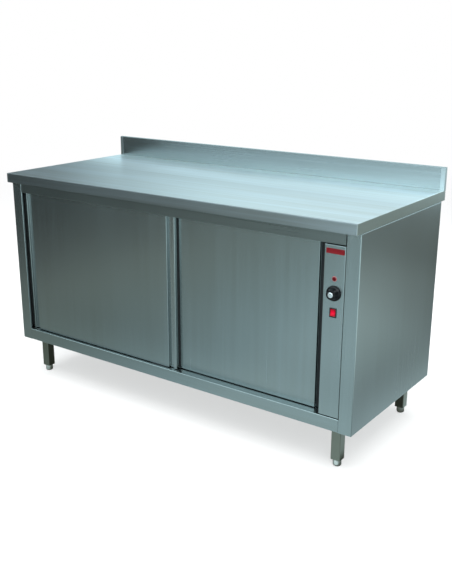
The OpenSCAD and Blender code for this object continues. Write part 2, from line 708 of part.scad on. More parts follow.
// Entry for the supply cable: outer body, clamping dome and inner locknut round one bore
module cable_gland() color([0.10, 0.10, 0.11]) translate([gland.x, 0, gland.y]) difference() {
    union() {
        rod_y(8, rear - 12, rear + 4);
        translate([0, rear, 0]) rotate([-90, 0, 0]) cylinder(r = 13, h = 5, $fn = 6);
        rod_y(10.5, rear + 4, rear + 16);
        translate([0, rear + 16, 0]) rotate([-90, 0, 0]) cylinder(r1 = 10.5, r2 = 8, h = 6);
        translate([0, rear - skin - 5, 0]) rotate([-90, 0, 0]) cylinder(r = 12, h = 5, $fn = 6);
    }
    rod_y(gland_bore_r, rear - 14, rear + 24);
}

// Hexagon bolts of the legs and pan-head screws of the back panel
module fasteners() color("lightgray") {
    for_legs() leg_bolt_places() {
        translate([0, 0, pan_z - plate_t - 5.3]) cylinder(r = 7.5, h = 5.3, $fn = 6);
        translate([0, 0, pan_z - plate_t - 1]) cylinder(r = bolt_r, h = plate_t + skin + 7);
    }
    for (x = [-1, 1] * (half_l - 9), z = panel_screw_z) translate([x, 0, z]) {
        rod_y(4, rear, rear + 2.4);
        rod_y(2, rear - 4, rear + 1);
    }
}

worktop();
worktop_board();
splashback();
left_side_panel();
right_side_panel();
back_panel();
base_pan();
bottom_beam();
top_rail();
top_track();
cavity_floor();
cavity_liner();
cavity_ceiling();
partition();
insulation();
shelf();
shelf_supports();
leg_front_left();
leg_front_right();
leg_rear_left();
leg_rear_right();
foot_inserts();
foot_front_left();
foot_front_right();
foot_rear_left();
foot_rear_right();
left_door_skin();
left_door_back();
left_door_grips();
left_door_core();
left_door_hangers();
left_door_roller_a();
left_door_roller_b();
left_door_seal();
right_door_skin();
right_door_back();
right_door_grips();
right_door_core();
right_door_hangers();
right_door_roller_a();
right_door_roller_b();
door_guide();
door_stops();
control_panel();
badge_plate();
pilot_lamp();
thermostat();
thermostat_spindle();
control_knob();
knob_cap();
switch_housing();
switch_rocker();
terminal_block();
wiring();
air_grilles();
fan_frame();
fan_impeller();
heater_element();
cable_gland();
fasteners();
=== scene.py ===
"""Looks of the heated plate cabinet: finishes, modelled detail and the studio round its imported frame.

Finishes, lamps, cards and the camera count in metres, and the sizes of pieces in millimetres, both in the
frame's own axes. The floor is z = 0, -Y is the front and +X the control end.
"""

import logging
import math
from collections.abc import Callable, Iterable, Iterator, Sequence
from contextlib import contextmanager
from dataclasses import dataclass, field
from enum import Enum

import bmesh
import bpy
from mathutils import Matrix, Vector

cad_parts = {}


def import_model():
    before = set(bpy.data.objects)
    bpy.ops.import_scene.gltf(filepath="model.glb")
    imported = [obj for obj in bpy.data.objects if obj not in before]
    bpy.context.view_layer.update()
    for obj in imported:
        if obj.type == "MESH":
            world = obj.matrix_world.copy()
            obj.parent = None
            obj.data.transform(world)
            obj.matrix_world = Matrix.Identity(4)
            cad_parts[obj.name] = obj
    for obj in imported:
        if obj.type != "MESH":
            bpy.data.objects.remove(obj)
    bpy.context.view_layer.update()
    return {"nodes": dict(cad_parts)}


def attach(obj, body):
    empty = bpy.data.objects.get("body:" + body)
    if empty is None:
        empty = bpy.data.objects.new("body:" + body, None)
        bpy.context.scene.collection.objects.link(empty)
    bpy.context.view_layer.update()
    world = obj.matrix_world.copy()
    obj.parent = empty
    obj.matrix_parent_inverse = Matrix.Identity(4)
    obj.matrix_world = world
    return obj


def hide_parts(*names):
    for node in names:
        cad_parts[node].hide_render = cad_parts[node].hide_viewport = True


log = logging.getLogger("plate_cabinet")

MM = 0.001
Colour = tuple[float, float, float]
Point = tuple[float, float, float]
Pair = tuple[float, float]
Piece = bpy.types.Object
Number = "float | Wire"
WHITE = (1.0, 1.0, 1.0)


def grey(value: float) -> Colour:
    """A grey of that value."""
    return (value,) * 3


def shaded(colour: Colour, share: float) -> Colour:
    """The colour multiplied by a share, each channel kept at 1 or below."""
    return tuple(min(1.0, value * share) for value in colour)


# ---- Shader trees ----


class Wire:
    """A value in a shader tree, on which Python's operators add Math nodes."""

    def __init__(self, paint: "Paint", socket: bpy.types.NodeSocket) -> None:
        """Wraps an output socket of the paint's tree."""
        self.paint = paint
        self.socket = socket

    def _math(self, operation: str, first: Number, second: Number) -> "Wire":
        """Adds one Math node.

        Args:
            operation: Blender's name of the operation.
            first: The upper input.
            second: The lower input.

        Returns:
            The node's output.
        """
        node = self.paint.node("ShaderNodeMath", {"operation": operation}, {0: first, 1: second})
        return Wire(self.paint, node.outputs[0])

    def __add__(self, other: Number) -> "Wire":
        """self + other."""
        return self._math("ADD", self, other)

    def __sub__(self, other: Number) -> "Wire":
        """self - other."""
        return self._math("SUBTRACT", self, other)

    def __rsub__(self, other: Number) -> "Wire":
        """other - self."""
        return self._math("SUBTRACT", other, self)

    def __mul__(self, other: Number) -> "Wire":
        """self * other."""
        return self._math("MULTIPLY", self, other)

    def __abs__(self) -> "Wire":
        """self without its sign."""
        return self._math("ABSOLUTE", self, 0.0)

    def clamped(self) -> "Wire":
        """The value kept between 0 and 1."""
        node = self.paint.node("ShaderNodeClamp", {}, {"Value": self})
        return Wire(self.paint, node.outputs[0])

    __radd__ = __add__
    __rmul__ = __mul__


class Paint:
    """A material's tree, with one method for nodes and short ones for what finishes share."""

    def __init__(self, name: str) -> None:
        """Makes an empty material.

        Args:
            name: The material's name.
        """
        self.material = bpy.data.materials.new(name)
        self.material.use_nodes = True
        self.tree = self.material.node_tree
        self.tree.nodes.clear()
        self.output = self.tree.nodes.new("ShaderNodeOutputMaterial")

    def node(
        self, kind: str, settings: dict[str, object], sockets: dict[str | int, object]
    ) -> bpy.types.Node:
        """Adds one node.

        Args:
            kind: Blender's type of the node.
            settings: Attributes, set first. "stops" holds a ramp's (place, colour) pairs.
            sockets: Values or wires of its inputs, by name or number.

        Returns:
            The node.
        """
        node = self.tree.nodes.new(kind)
        for key, value in settings.items():
            if key == "stops":
                elements = node.color_ramp.elements
                for _ in value[2:]:
                    elements.new(1.0)
                for element, (place, colour) in zip(elements, value):
                    element.position = place
                    element.color = colour
            else:
                setattr(node, key, value)
        for key, value in sockets.items():
            if isinstance(value, Wire):
                self.tree.links.new(value.socket, node.inputs[key])
            else:
                node.inputs[key].default_value = value
        return node

    def coordinates(self) -> Wire:
        """The object's own coordinates in metres."""
        return Wire(self, self.node("ShaderNodeTexCoord", {}, {}).outputs["Object"])

    def plan(self) -> tuple[Wire, Wire]:
        """The object's own X and Y in metres."""
        apart = self.node("ShaderNodeSeparateXYZ", {}, {0: self.coordinates()})
        return Wire(self, apart.outputs[0]), Wire(self, apart.outputs[1])

    def place(self, scale: Point) -> Wire:
        """The object's own coordinates, stretched by scale."""
        mapping = self.node("ShaderNodeMapping", {}, {"Vector": self.coordinates(), "Scale": scale})
        return Wire(self, mapping.outputs[0])

    def noise(self, scale: Point, detail: float = 2.0, rough: float = 0.5) -> Wire:
        """Fractal noise from 0 to 1, with scale cells to the metre along each axis."""
        sockets = {"Vector": self.place(scale), "Scale": 1.0, "Detail": detail, "Roughness": rough}
        return Wire(self, self.node("ShaderNodeTexNoise", {}, sockets).outputs["Fac"])

    def blend(self, share: Number, first: Colour | Wire, second: Colour | Wire) -> Wire:
        """Mixes two colours.

        Args:
            share: 0 gives the first colour and 1 the second.
            first: A colour or a wire that carries one.
            second: The other colour.

        Returns:
            The mixed colour.
        """
        ends = [c if isinstance(c, Wire) else (*c, 1.0) for c in (first, second)]
        settings = {"data_type": "RGBA", "clamp_factor": True}
        node = self.node("ShaderNodeMix", settings, {0: share, 6: ends[0], 7: ends[1]})
        return Wire(self, node.outputs[2])

    def filtered(self, colour: Wire, tint: Wire) -> Wire:
        """One colour multiplied by another."""
        node = self.node("ShaderNodeVectorMath", {"operation": "MULTIPLY"}, {0: colour, 1: tint})
        return Wire(self, node.outputs[0])

    def bump(self, height: Wire, distance: float, strength: float = 1.0, under: Wire | None = None) -> Wire:
        """Turns a height into a normal.

        Args:
            height: The height, from 0 to 1.
            distance: Metres that a height of 1 stands for.
            strength: Share of the effect.
            under: A normal that this one is laid over.

        Returns:
            The normal.
        """
        sockets: dict[str | int, object] = {"Height": height, "Distance": distance, "Strength": strength}
        if under is not None:
            sockets["Normal"] = under
        return Wire(self, self.node("ShaderNodeBump", {}, sockets).outputs[0])

    def surface(self, **sockets: object) -> bpy.types.Material:
        """Adds the Principled shader and ends the tree.

        Args:
            **sockets: Values or wires of its inputs, whose names have _ for a space.

        Returns:
            The material.
        """
        named = {name.replace("_", " "): value for name, value in sockets.items()}
        shader = self.node("ShaderNodeBsdfPrincipled", {}, named)
        self.tree.links.new(shader.outputs[0], self.output.inputs[0])
        return self.material


class Grain(Enum):
    """The way a sheet was brushed, as noise cells to the metre along X, Y and Z."""

    ALONG_X = (1.2, 420.0, 420.0)
    ALONG_Z = (420.0, 420.0, 1.2)

    def coarser(self, share: float) -> Point:
        """The same way with every cell 1 / share as large across the grain."""
        return tuple(cells * share if cells > min(self.value) else cells for cells in self.value)


@dataclass(frozen=True)
class BrushedSteel:
    """Satin stainless sheet: brushed streaks, faint smears and the slight waves of thin sheet.

    The streaks are fine ones, broad ones that are 1 / broad as wide, and clouds 1 / cloudy as wide.
    """

    name: str
    grain: Grain
    tint: Colour = (0.250, 0.290, 0.292)
    roughness: float = 0.24
    streak: float = 0.10
    wave: float = 4.4 * MM
    depth: float = 0.9
    scratch: float = 0.02 * MM
    broad: float = 0.12
    cloudy: float = 0.025

    def material(self) -> bpy.types.Material:
        """Builds the finish.

        Returns:
            The material.
        """
        paint = Paint(self.name)
        fine = paint.noise(self.grain.value, 3.0, 0.6)
        broad = paint.noise(self.grain.coarser(self.broad))
        cloud = paint.noise(self.grain.coarser(self.cloudy))
        smear = paint.noise((2.2,) * 3, 3.0, 0.55)
        light = tuple(v * (1.0 + self.streak * way) for v, way in zip(self.tint, (0.9, 1.0, 1.3)))
        dark = tuple(v * (1.0 - self.streak * way) for v, way in zip(self.tint, (0.8, 1.0, 1.3)))
        share = (fine * 0.36 + broad * 0.36 + cloud * 0.28 - 0.5) * self.depth + 0.5
        colour = self.marks_and_painted_light(paint, paint.blend(share, dark, light))
        rough = fine * 0.10 + broad * 0.05 + smear * 0.09 + (self.roughness - 0.12)
        waves = paint.bump(paint.noise((1.7,) * 3, 1.0), self.wave)
        normal = paint.bump(fine, self.scratch, 0.6, waves)
        return paint.surface(Base_Color=colour, Metallic=1.0, Roughness=rough, Normal=normal)

    def marks_and_painted_light(self, paint: Paint, colour: Wire) -> Wire:
        """The colour with the marks of making and any painted light or shade. A plain sheet has none, so
        paint isn't used here.
        """
        return colour


@dataclass(frozen=True)
class GroundSteel(BrushedSteel):
    """The worktop's sheet: smooth ground ends, painted shade that darkens the front edge towards the left,
    and painted light that makes the rear paler.

    A share multiplies the sheet's colour. A slope is how fast a mask rises, per metre.
    """

    end: float = 0.7974
    front: float = -0.3475
    band: float = 0.016
    ground: Colour = (0.30, 0.335, 0.315)
    edge_shade_left: float = 0.3168
    edge_shade_right: float = 0.5808
    band_share: float = 0.616
    band_strength: float = 0.5
    rear_light_share: float = 2.15
    rear_slope: float = 3.2
    edge_slope: float = 900.0
    end_slope: float = 4000.0

    def marks_and_painted_light(self, paint: Paint, colour: Wire) -> Wire:
        """The colour with painted shade on the front edge, painted light on the rear, the end faces and the
        ground bands by them.

        Args:
            paint: The material's nodes.
            colour: Colour of the sheet.

        Returns:
            The colour.
        """
        x, y = paint.plan()
        out = abs(x)
        banded = ((out - (self.end - self.band)) * (1.0 / self.band)).clamped() * self.band_strength
        length = (x * (0.5 / self.end) + 0.5).clamped()
        # Painted shade: the front edge is darkened, most towards the left end; near the ends the ground
        # bands make it paler.
        edge_painted_shade_and_bands = paint.blend(length, grey(self.edge_shade_left), grey(self.edge_shade_right))
        edge_painted_shade_and_bands = paint.blend(banded, edge_painted_shade_and_bands, grey(self.band_share))
        # Painted light: the top is lightened towards its rear.
        painted_rear_light = paint.blend((y * self.rear_slope).clamped(), WHITE, grey(self.rear_light_share))
        shade = paint.blend(((self.front - y) * self.edge_slope).clamped(), painted_rear_light, edge_painted_shade_and_bands)
        smooth = paint.blend(paint.noise((60.0,) * 3), shaded(self.ground, 0.94), self.ground)
        ends = ((out - self.end) * self.end_slope).clamped()
        return paint.blend(ends, paint.filtered(colour, shade), smooth)


@dataclass(frozen=True)
class Metal:
    """Turned, plated or extruded metal with fine irregular marks."""

    name: str
    tint: Colour
    roughness: float = 0.3
    cells: Point = (300.0, 300.0, 300.0)
    contrast: float = 0.12
    scratch: float = 0.02 * MM

    def material(self) -> bpy.types.Material:
        """Builds the finish.

        Returns:
            The material.
        """
        paint = Paint(self.name)
        marks = paint.noise(self.cells, 3.0, 0.6)
        cloud = paint.noise((25.0,) * 3)
        light = shaded(self.tint, 1.0 + self.contrast)
        dark = shaded(self.tint, 1.0 - self.contrast)
        colour = paint.blend(marks * 0.6 + cloud * 0.4, dark, light)
        rough = marks * 0.12 + cloud * 0.08 + (self.roughness - 0.1)
        normal = paint.bump(marks, self.scratch, 0.5)
        return paint.surface(Base_Color=colour, Metallic=1.0, Roughness=rough, Normal=normal)


@dataclass(frozen=True)
class Moulded:
    """Moulded plastic, nylon or rubber with a fine skin texture."""

    name: str
    tint: Colour
    roughness: float = 0.4
    texture: float = 0.05 * MM
    cells: float = 900.0
    gloss: float = 0.5

    def material(self) -> bpy.types.Material:
        """Builds the finish.

        Returns:
            The material.
        """
        paint = Paint(self.name)
        skin = paint.noise((self.cells,) * 3)
        cloud = paint.noise((40.0,) * 3)
        light = tuple(min(1.0, v * 1.15 + 0.004) for v in self.tint)
        colour = paint.blend(cloud, shaded(self.tint, 0.82), light)
        rough = cloud * 0.12 + skin * 0.06 + (self.roughness - 0.09)
        normal = paint.bump(skin, self.texture, 0.5)
        return paint.surface(
            Base_Color=colour, Roughness=rough, Normal=normal, Specular_IOR_Level=self.gloss
        )


@dataclass(frozen=True)
class Glowing:
    """Translucent coloured plastic with a lamp behind it, brightest in its middle."""

    name: str
    tint: Colour
    glow: Colour
    strength: float
    middle: Point
    reach: float
    gloss: float = 0.08

    def material(self) -> bpy.types.Material:
        """Builds the finish.

        Returns:
            The material.
        """
        paint = Paint(self.name)
        ends = {0: paint.coordinates(), 1: self.middle}
        distance = paint.node("ShaderNodeVectorMath", {"operation": "DISTANCE"}, ends)
        core = (1.0 - Wire(paint, distance.outputs["Value"]) * (1.0 / self.reach)).clamped()
        ribs = paint.noise((180.0,) * 3, 1.0)
        lit = paint.blend(core * 0.8 + ribs * 0.3, grey(0.0), self.glow)
        body = paint.blend(ribs, shaded(self.tint, 0.8), self.tint)
        return paint.surface(
            Base_Color=body,
            Roughness=ribs * 0.1 + 0.18,
            Specular_IOR_Level=self.gloss,
            Emission_Color=lit,
            Emission_Strength=self.strength,
        )


@dataclass(frozen=True)
class Fibre:
    """Pressed fibre: chipboard or mineral wool."""

    name: str
    dark: Colour
    light: Colour
    cells: float
    relief: float = 0.4 * MM

    def material(self) -> bpy.types.Material:
        """Builds the finish.

        Returns:
            The material.
        """
        paint = Paint(self.name)
        chips = paint.node(
            "ShaderNodeTexVoronoi", {}, {"Vector": paint.place((self.cells,) * 3), "Scale": 1.0}
        )
        strands = paint.noise((self.cells * 2.0,) * 3, 4.0, 0.7)
        shade = Wire(paint, chips.outputs["Distance"]) * 0.6 + strands * 0.5
        normal = paint.bump(shade, self.relief, 0.8)
        return paint.surface(
            Base_Color=paint.blend(shade, self.dark, self.light),
            Roughness=strands * 0.1 + 0.85,
            Normal=normal,
        )


# ---- Modelling ----


class Way(Enum):
    """A direction of the frame and its place in a point."""

    X = 0
    Y = 1
    Z = 2

    @property
    def unit(self) -> Vector:
        """The direction as a vector of length 1."""
        return Vector([float(i == self.value) for i in range(3)])

    def spot(self, pair: Pair, along: float) -> Vector:
        """The point, in metres, of pair across the direction and along on it, in millimetres."""
        rest = iter(pair)
        return Vector([along if i == self.value else next(rest) for i in range(3)]) * MM


class Pick(Enum):
    """What edit mode selects: vertices, edges or faces."""

    VERTICES = (True, False, False)
    EDGES = (False, True, False)
    FACES = (False, False, True)


class Bench:
    """Modelling steps on Blender's operators. Places, sizes and radii are in millimetres."""

    ROUND = 48

    @staticmethod
    @contextmanager
    def editing(obj: Piece) -> Iterator[None]:
        """Edit mode on one object, with everything selected at its start.

        Args:
            obj: The object.

        Yields:
            Nothing.
        """
        Bench.only(obj)
        bpy.ops.object.mode_set(mode="EDIT")
        Bench.picking(Pick.VERTICES, "SELECT")
        yield
        bpy.ops.object.mode_set(mode="OBJECT")

    @staticmethod
    def picking(kind: Pick, action: str = "DESELECT") -> bmesh.types.BMesh:
        """Sets what edit mode selects.

        Args:
            kind: The elements that it selects.
            action: DESELECT drops the whole selection, and SELECT selects all.

        Returns:
            The mesh in edit mode.
        """
        bpy.context.tool_settings.mesh_select_mode = kind.value
        bpy.ops.mesh.select_all(action=action)
        return bmesh.from_edit_mesh(bpy.context.edit_object.data)

    @staticmethod
    def only(*objects: Piece) -> None:
        """Selects these objects alone.

        Args:
            *objects: The objects, of which the last one becomes active.
        """
        bpy.ops.object.select_all(action="DESELECT")
        for obj in objects:
            obj.select_set(True)
        bpy.context.view_layer.objects.active = objects[-1]

    @staticmethod
    def named(name: str) -> Piece:
        """Names the object just added, and its mesh.

        Args:
            name: Its name.

        Returns:
            The object.
        """
        obj = bpy.context.active_object
        obj.name = obj.data.name = name
        return obj

    @staticmethod
    def pick_edges(test: Callable[[Vector, Vector], bool]) -> None:
        """Selects the edges of the mesh in edit mode that pass a test, and nothing else.

        Args:
            test: Takes both ends of an edge, in millimetres.
        """
        mesh = Bench.picking(Pick.EDGES)
        chosen = [e for e in mesh.edges if test(e.verts[0].co / MM, e.verts[1].co / MM)]
        for edge in chosen:
            edge.select_set(True)
        bmesh.update_edit_mesh(bpy.context.edit_object.data)

    @staticmethod
    def pick_faces(test: Callable[[Vector, Vector], bool]) -> None:
        """Selects the faces of the mesh in edit mode that pass a test, and nothing else.

        Args:
            test: Takes a face's centre, in millimetres, and its normal.
        """
        mesh = Bench.picking(Pick.FACES)
        chosen = [f for f in mesh.faces if test(f.calc_center_median() / MM, f.normal)]
        for face in chosen:
            face.select_set(True)
        bmesh.update_edit_mesh(bpy.context.edit_object.data)

    @staticmethod
    def bevel(radius: float, steps: int) -> None:
        """Rounds the edges that are selected in edit mode."""
        bpy.ops.mesh.bevel(offset=radius * MM, segments=steps, affect="EDGES")

    @staticmethod
    def round_along(way: Way, radius: float, steps: int = 5) -> None:
        """Rounds the edges of the box in edit mode that run in a direction."""
        Bench.pick_edges(lambda a, b: abs(a[way.value] - b[way.value]) > 1)
        Bench.bevel(radius, steps)

    @staticmethod
    def slice(at: Point, normal: Point) -> None:
        """Cuts new edges through the whole mesh in edit mode, where a plane crosses it."""
        bpy.ops.mesh.select_all(action="SELECT")
        bpy.ops.mesh.bisect(plane_co=Vector(at) * MM, plane_no=normal)

    @staticmethod
    def push(shift: Point) -> None:
        """Extrudes the selection by shift, in millimetres."""
        bpy.ops.mesh.extrude_region_move(TRANSFORM_OT_translate={"value": Vector(shift) * MM})

    @staticmethod
    def box(name: str, low: Point, high: Point, edge: float = 0.0, steps: int = 2) -> Piece:
        """A box with rounded edges.

        Args:
            name: Its name.
            low: Its lowest corner.
            high: Its highest corner.
            edge: Radius of the edges; 0 leaves them sharp.
            steps: Faces across a rounded edge.

        Returns:
            The box.
        """
        bpy.ops.object.select_all(action="DESELECT")
        middle = (Vector(low) + Vector(high)) / 2 * MM
        bpy.ops.mesh.primitive_cube_add(size=1.0, location=middle, scale=(Vector(high) - Vector(low)) * MM)
        obj = Bench.named(name)
        bpy.ops.object.transform_apply(location=True, rotation=True, scale=True)
        if edge:
            with Bench.editing(obj):
                Bench.bevel(edge, steps)
        return obj

    @staticmethod
    def trace(name: str, points: Sequence[Vector], filled: bool = False) -> Piece:
        """A chain of edges through points in metres.

        Args:
            name: Its name.
            points: The points it runs through.
            filled: Closes the chain with a face.

        Returns:
            The chain.
        """
        bpy.ops.object.select_all(action="DESELECT")
        bpy.ops.mesh.primitive_plane_add(size=MM)
        obj = Bench.named(name)
        with Bench.editing(obj):
            bpy.ops.mesh.merge(type="CENTER")
            bpy.ops.transform.translate(value=points[0])
            for start, end in zip(points, points[1:]):
                bpy.ops.mesh.extrude_vertices_move(TRANSFORM_OT_translate={"value": end - start})
            if filled:
                bpy.ops.mesh.select_all(action="SELECT")
                bpy.ops.mesh.edge_face_add()
        return obj

    @staticmethod
    def strip(name: str, way: Way, path: Sequence[Pair], span: Pair, bend: float = 2.0) -> Piece:
        """A strip without thickness that follows a path and is rounded where it folds.

        Args:
            name: Its name.
            way: The direction that the folds run in.
            path: The strip's middle line, across that direction.
            span: Where the folds begin and end along it.
            bend: Radius of the folds.

        Returns:
            The strip, still to be thickened.
        """
        obj = Bench.trace(name, [way.spot(p, span[0]) for p in path])
        with Bench.editing(obj):
            Bench.push(way.unit * (span[1] - span[0]))
            Bench.picking(Pick.EDGES)
            bpy.ops.mesh.select_non_manifold()
            bpy.ops.mesh.select_all(action="INVERT")
            Bench.bevel(bend, 5)
        return obj

    @staticmethod
    def lip(obj: Piece, test: Callable[[Vector, Vector], bool], shift: Point, bend: float) -> None:
        """Folds a lip out from the edges of a strip.

        Args:
            obj: The strip.
            test: Takes both ends of an edge and tells whether the lip starts there.
            shift: How far and which way the lip reaches.
            bend: Radius of its fold.
        """
        with Bench.editing(obj):
            Bench.pick_edges(test)
            Bench.push(shift)
            Bench.pick_edges(test)
            Bench.bevel(bend, 4)

    @staticmethod
    def thicken(obj: Piece, thickness: float, offset: float = 0.0) -> None:
        """Gives a strip its thickness.

        Args:
            obj: The strip.
            thickness: The sheet's thickness.
            offset: 0 keeps the strip in the sheet's middle, and -1 puts it on the outside.
        """
        with Bench.editing(obj):
            bpy.ops.mesh.remove_doubles(threshold=0.02 * MM)
            bpy.ops.mesh.normals_make_consistent(inside=False)
        modifier = obj.modifiers.new("sheet", "SOLIDIFY")
        modifier.thickness = thickness * MM
        modifier.offset = offset
        modifier.use_even_offset = True
        Bench.apply(obj, modifier)

    @staticmethod
    def apply(obj: Piece, modifier: bpy.types.Modifier) -> None:
        """Applies a modifier."""
        Bench.only(obj)
        bpy.ops.object.modifier_apply(modifier=modifier.name)

    @staticmethod
    def prism(name: str, way: Way, outline: Sequence[Pair], span: Pair, edge: float = 0.0) -> Piece:
        """A solid of constant outline.

        Args:
            name: Its name.
            way: The direction it runs in.
            outline: Its corners, across that direction.
            span: Where it begins and ends.
            edge: Radius of its sharp edges; 0 leaves them.

        Returns:
            The solid.
        """
        obj = Bench.trace(name, [way.spot(p, span[0]) for p in outline], filled=True)
        with Bench.editing(obj):
            Bench.push(way.unit * (span[1] - span[0]))
            bpy.ops.mesh.select_all(action="SELECT")
            bpy.ops.mesh.normals_make_consistent(inside=False)
        if edge:
            Bench.soften(obj, edge)
        return obj

    @staticmethod
    def lathe(name: str, way: Way, profile: Sequence[Pair], at: Point, steps: int = ROUND) -> Piece:
        """A turned solid.

        Args:
            name: Its name.
            way: Direction of its axis.
            profile: Pairs of a radius and a place along the axis, counted from at.
            at: A point on the axis.
            steps: Faces round the axis.

        Returns:
            The solid.
        """
        centre = Vector(at) * MM
        across = Way((way.value + 1) % 3).unit
        points = [centre + (across * r + way.unit * h) * MM for r, h in profile]
        obj = Bench.trace(name, points)
        with Bench.editing(obj):
            bpy.ops.mesh.spin(steps=steps, angle=math.tau, center=centre, axis=way.unit)
            bpy.ops.mesh.select_all(action="SELECT")
            bpy.ops.mesh.remove_doubles(threshold=0.01 * MM)
            bpy.ops.mesh.normals_make_consistent(inside=False)
        return obj

    @staticmethod
    def pin(name: str, way: Way, radius: float, span: Pair, at: Point, steps: int) -> Piece:
        """A plain cylinder.

        Args:
            name: Its name.
            way: Direction of its axis.
            radius: Its radius.
            span: Where it begins and ends along the axis, counted from at.
            at: A point on the axis.
            steps: Faces round the axis.

        Returns:
            The cylinder.
        """
        profile = [(0, span[0]), (radius, span[0]), (radius, span[1]), (0, span[1])]
        return Bench.lathe(name, way, profile, at, steps)

    @staticmethod
    def tube(
        name: str, points: Sequence[Point], radius: float, bend: float = 0.0, closed: bool = False
    ) -> Piece:
        """A round rod along a line.

        Args:
            name: Its name.
            points: The points it runs through.
            radius: Its radius.
            bend: Radius given to the corners of the line.
            closed: Joins its end to its start.

        Returns:
            The rod.
        """
        obj = Bench.trace(name, [Vector(p) * MM for p in points])
        with Bench.editing(obj):
            if closed:
                bpy.ops.mesh.select_all(action="SELECT")
                bpy.ops.mesh.edge_face_add()
                bpy.ops.mesh.delete(type="ONLY_FACE")
            if bend:
                bpy.ops.mesh.select_all(action="SELECT")
                bpy.ops.mesh.bevel(offset=bend * MM, segments=8, affect="VERTICES")
        Bench.only(obj)
        bpy.ops.object.convert(target="CURVE")
        obj.data.bevel_depth = radius * MM
        obj.data.bevel_resolution = 4
        obj.data.use_fill_caps = not closed
        bpy.ops.object.convert(target="MESH")
        return Bench.named(name)

    @staticmethod
    def soften(obj: Piece, radius: float, angle: float = 35.0) -> None:
        """Rounds every sharp edge of an object.

        Args:
            obj: The object.
            radius: Radius of the edges.
            angle: Degrees that the faces of a sharp edge turn by, at the least.
        """
        modifier = obj.modifiers.new("round", "BEVEL")
        modifier.width = radius * MM
        modifier.segments = 2
        modifier.limit_method = "ANGLE"
        modifier.angle_limit = math.radians(angle)
        modifier.use_clamp_overlap = True
        Bench.apply(obj, modifier)

    @staticmethod
    def cut(obj: Piece, *tools: Piece) -> None:
        """Takes shapes off an object.

        Args:
            obj: The object.
            *tools: Objects of those shapes, which are removed afterwards.
        """
        for tool in tools:
            modifier = obj.modifiers.new("cut", "BOOLEAN")
            modifier.operation = "DIFFERENCE"
            modifier.solver = "EXACT"
            modifier.object = tool
            Bench.apply(obj, modifier)
            bpy.data.objects.remove(tool)

    @staticmethod
    def join(name: str, *parts: Piece) -> Piece:
        """Joins parts into one object.

        Args:
            name: Its name.
            *parts: The parts.

        Returns:
            The object.
        """
        Bench.only(*parts)
        bpy.ops.object.join()
        return Bench.named(name)

    @staticmethod
    def copy(obj: Piece, name: str, shift: Point) -> Piece:
        """Copies an object with its mesh.

        Args:
            obj: The object.
            name: The copy's name.
            shift: How far from the object the copy lies.

        Returns:
            The copy.
        """
        Bench.only(obj)
        bpy.ops.object.duplicate(linked=False)
        twin = Bench.named(name)
        with Bench.editing(twin):
            bpy.ops.transform.translate(value=Vector(shift) * MM)
        return twin

    @staticmethod
    def spread(model: Piece, places: Iterable[Point]) -> list[Piece]:
        """Copies a model with its mesh to every place and removes the model.

        Args:
            model: The object to copy.
            places: How far from the model each copy lies.

        Returns:
            The copies.
        """
        copies = [Bench.copy(model, model.name, place) for place in places]
        bpy.data.objects.remove(model)
        return copies

    @staticmethod
    def turn(obj: Piece, way: Way, degrees: float, at: Point) -> None:
        """Turns an object's mesh about an axis through a point, by the right-hand rule.

        Without a window the operator turns the other way, so its angle is negative.

        Args:
            obj: The object.
            way: Direction of the axis.
            degrees: How far it turns.
            at: A point on the axis.
        """
        with Bench.editing(obj):
            bpy.ops.transform.rotate(
                value=-math.radians(degrees), orient_axis=way.name, center_override=Vector(at) * MM
            )


def near(place: float, target: float) -> bool:
    """Whether a place lies within 0.1 mm of a target."""
    return abs(place - target) < 0.1


def edge_on(way: Way, length: float, test: Callable[[Vector], bool]) -> Callable[[Vector, Vector], bool]:
    """A test for long edges, for Bench.pick_edges and Bench.lip.

    Args:
        way: The direction that the edges run in.
        length: What their ends are apart along it, at the least.
        test: Takes one end and tells whether it is on the line that is looked for.

    Returns:
        The test.
    """
    return lambda a, b: abs(a[way.value] - b[way.value]) > length and test(a) and test(b)


def hexagon(radius: float, centre: Pair = (0.0, 0.0)) -> list[Pair]:
    """The corners of a hexagon, the first one to the right of its centre."""
    corners = [(math.cos(i * math.pi / 3), math.sin(i * math.pi / 3)) for i in range(6)]
    return [(centre[0] + radius * a, centre[1] + radius * b) for a, b in corners]


# ---- Finishes of this cabinet ----

STEEL_X = BrushedSteel("steel_brushed_lengthwise", Grain.ALONG_X, streak=0.14, depth=1.5)
STEEL_Z = BrushedSteel("steel_brushed_upright", Grain.ALONG_Z)
STEEL_TOP = GroundSteel("steel_worktop", Grain.ALONG_X, (0.38, 0.43, 0.44), 0.36, 0.24, depth=2.6)
STEEL_SPLASH = BrushedSteel("steel_splashback", Grain.ALONG_X, (0.216, 0.250, 0.254), 0.26, 0.14, depth=1.6)
# The rail's steel is darker than the other sheets: painted shade for the shadow under the worktop's
# overhang.
STEEL_RAIL_SHADED = BrushedSteel("steel_rail", Grain.ALONG_X, (0.150, 0.172, 0.168), 0.30)
STEEL_CAP = BrushedSteel("steel_ground_caps", Grain.ALONG_Z, (0.30, 0.34, 0.345), 0.30, 0.14)
STEEL_SIDE = BrushedSteel("steel_sides", Grain.ALONG_Z)
STEEL_DOOR = BrushedSteel("steel_doors", Grain.ALONG_Z, streak=0.15)
STEEL_GRIP = BrushedSteel("steel_door_grips", Grain.ALONG_Z, (0.285, 0.32, 0.32))
STEEL_PANEL = BrushedSteel("steel_panel", Grain.ALONG_Z)
STEEL_INNER = BrushedSteel("steel_inner", Grain.ALONG_Z, (0.27, 0.29, 0.29), 0.36, 0.06)
STEEL_LEG = BrushedSteel("steel_legs", Grain.ALONG_Z, (0.150, 0.158, 0.132), 0.30, 0.16)
STEEL_FOOT = Metal("steel_feet", (0.52, 0.535, 0.51), 0.34)
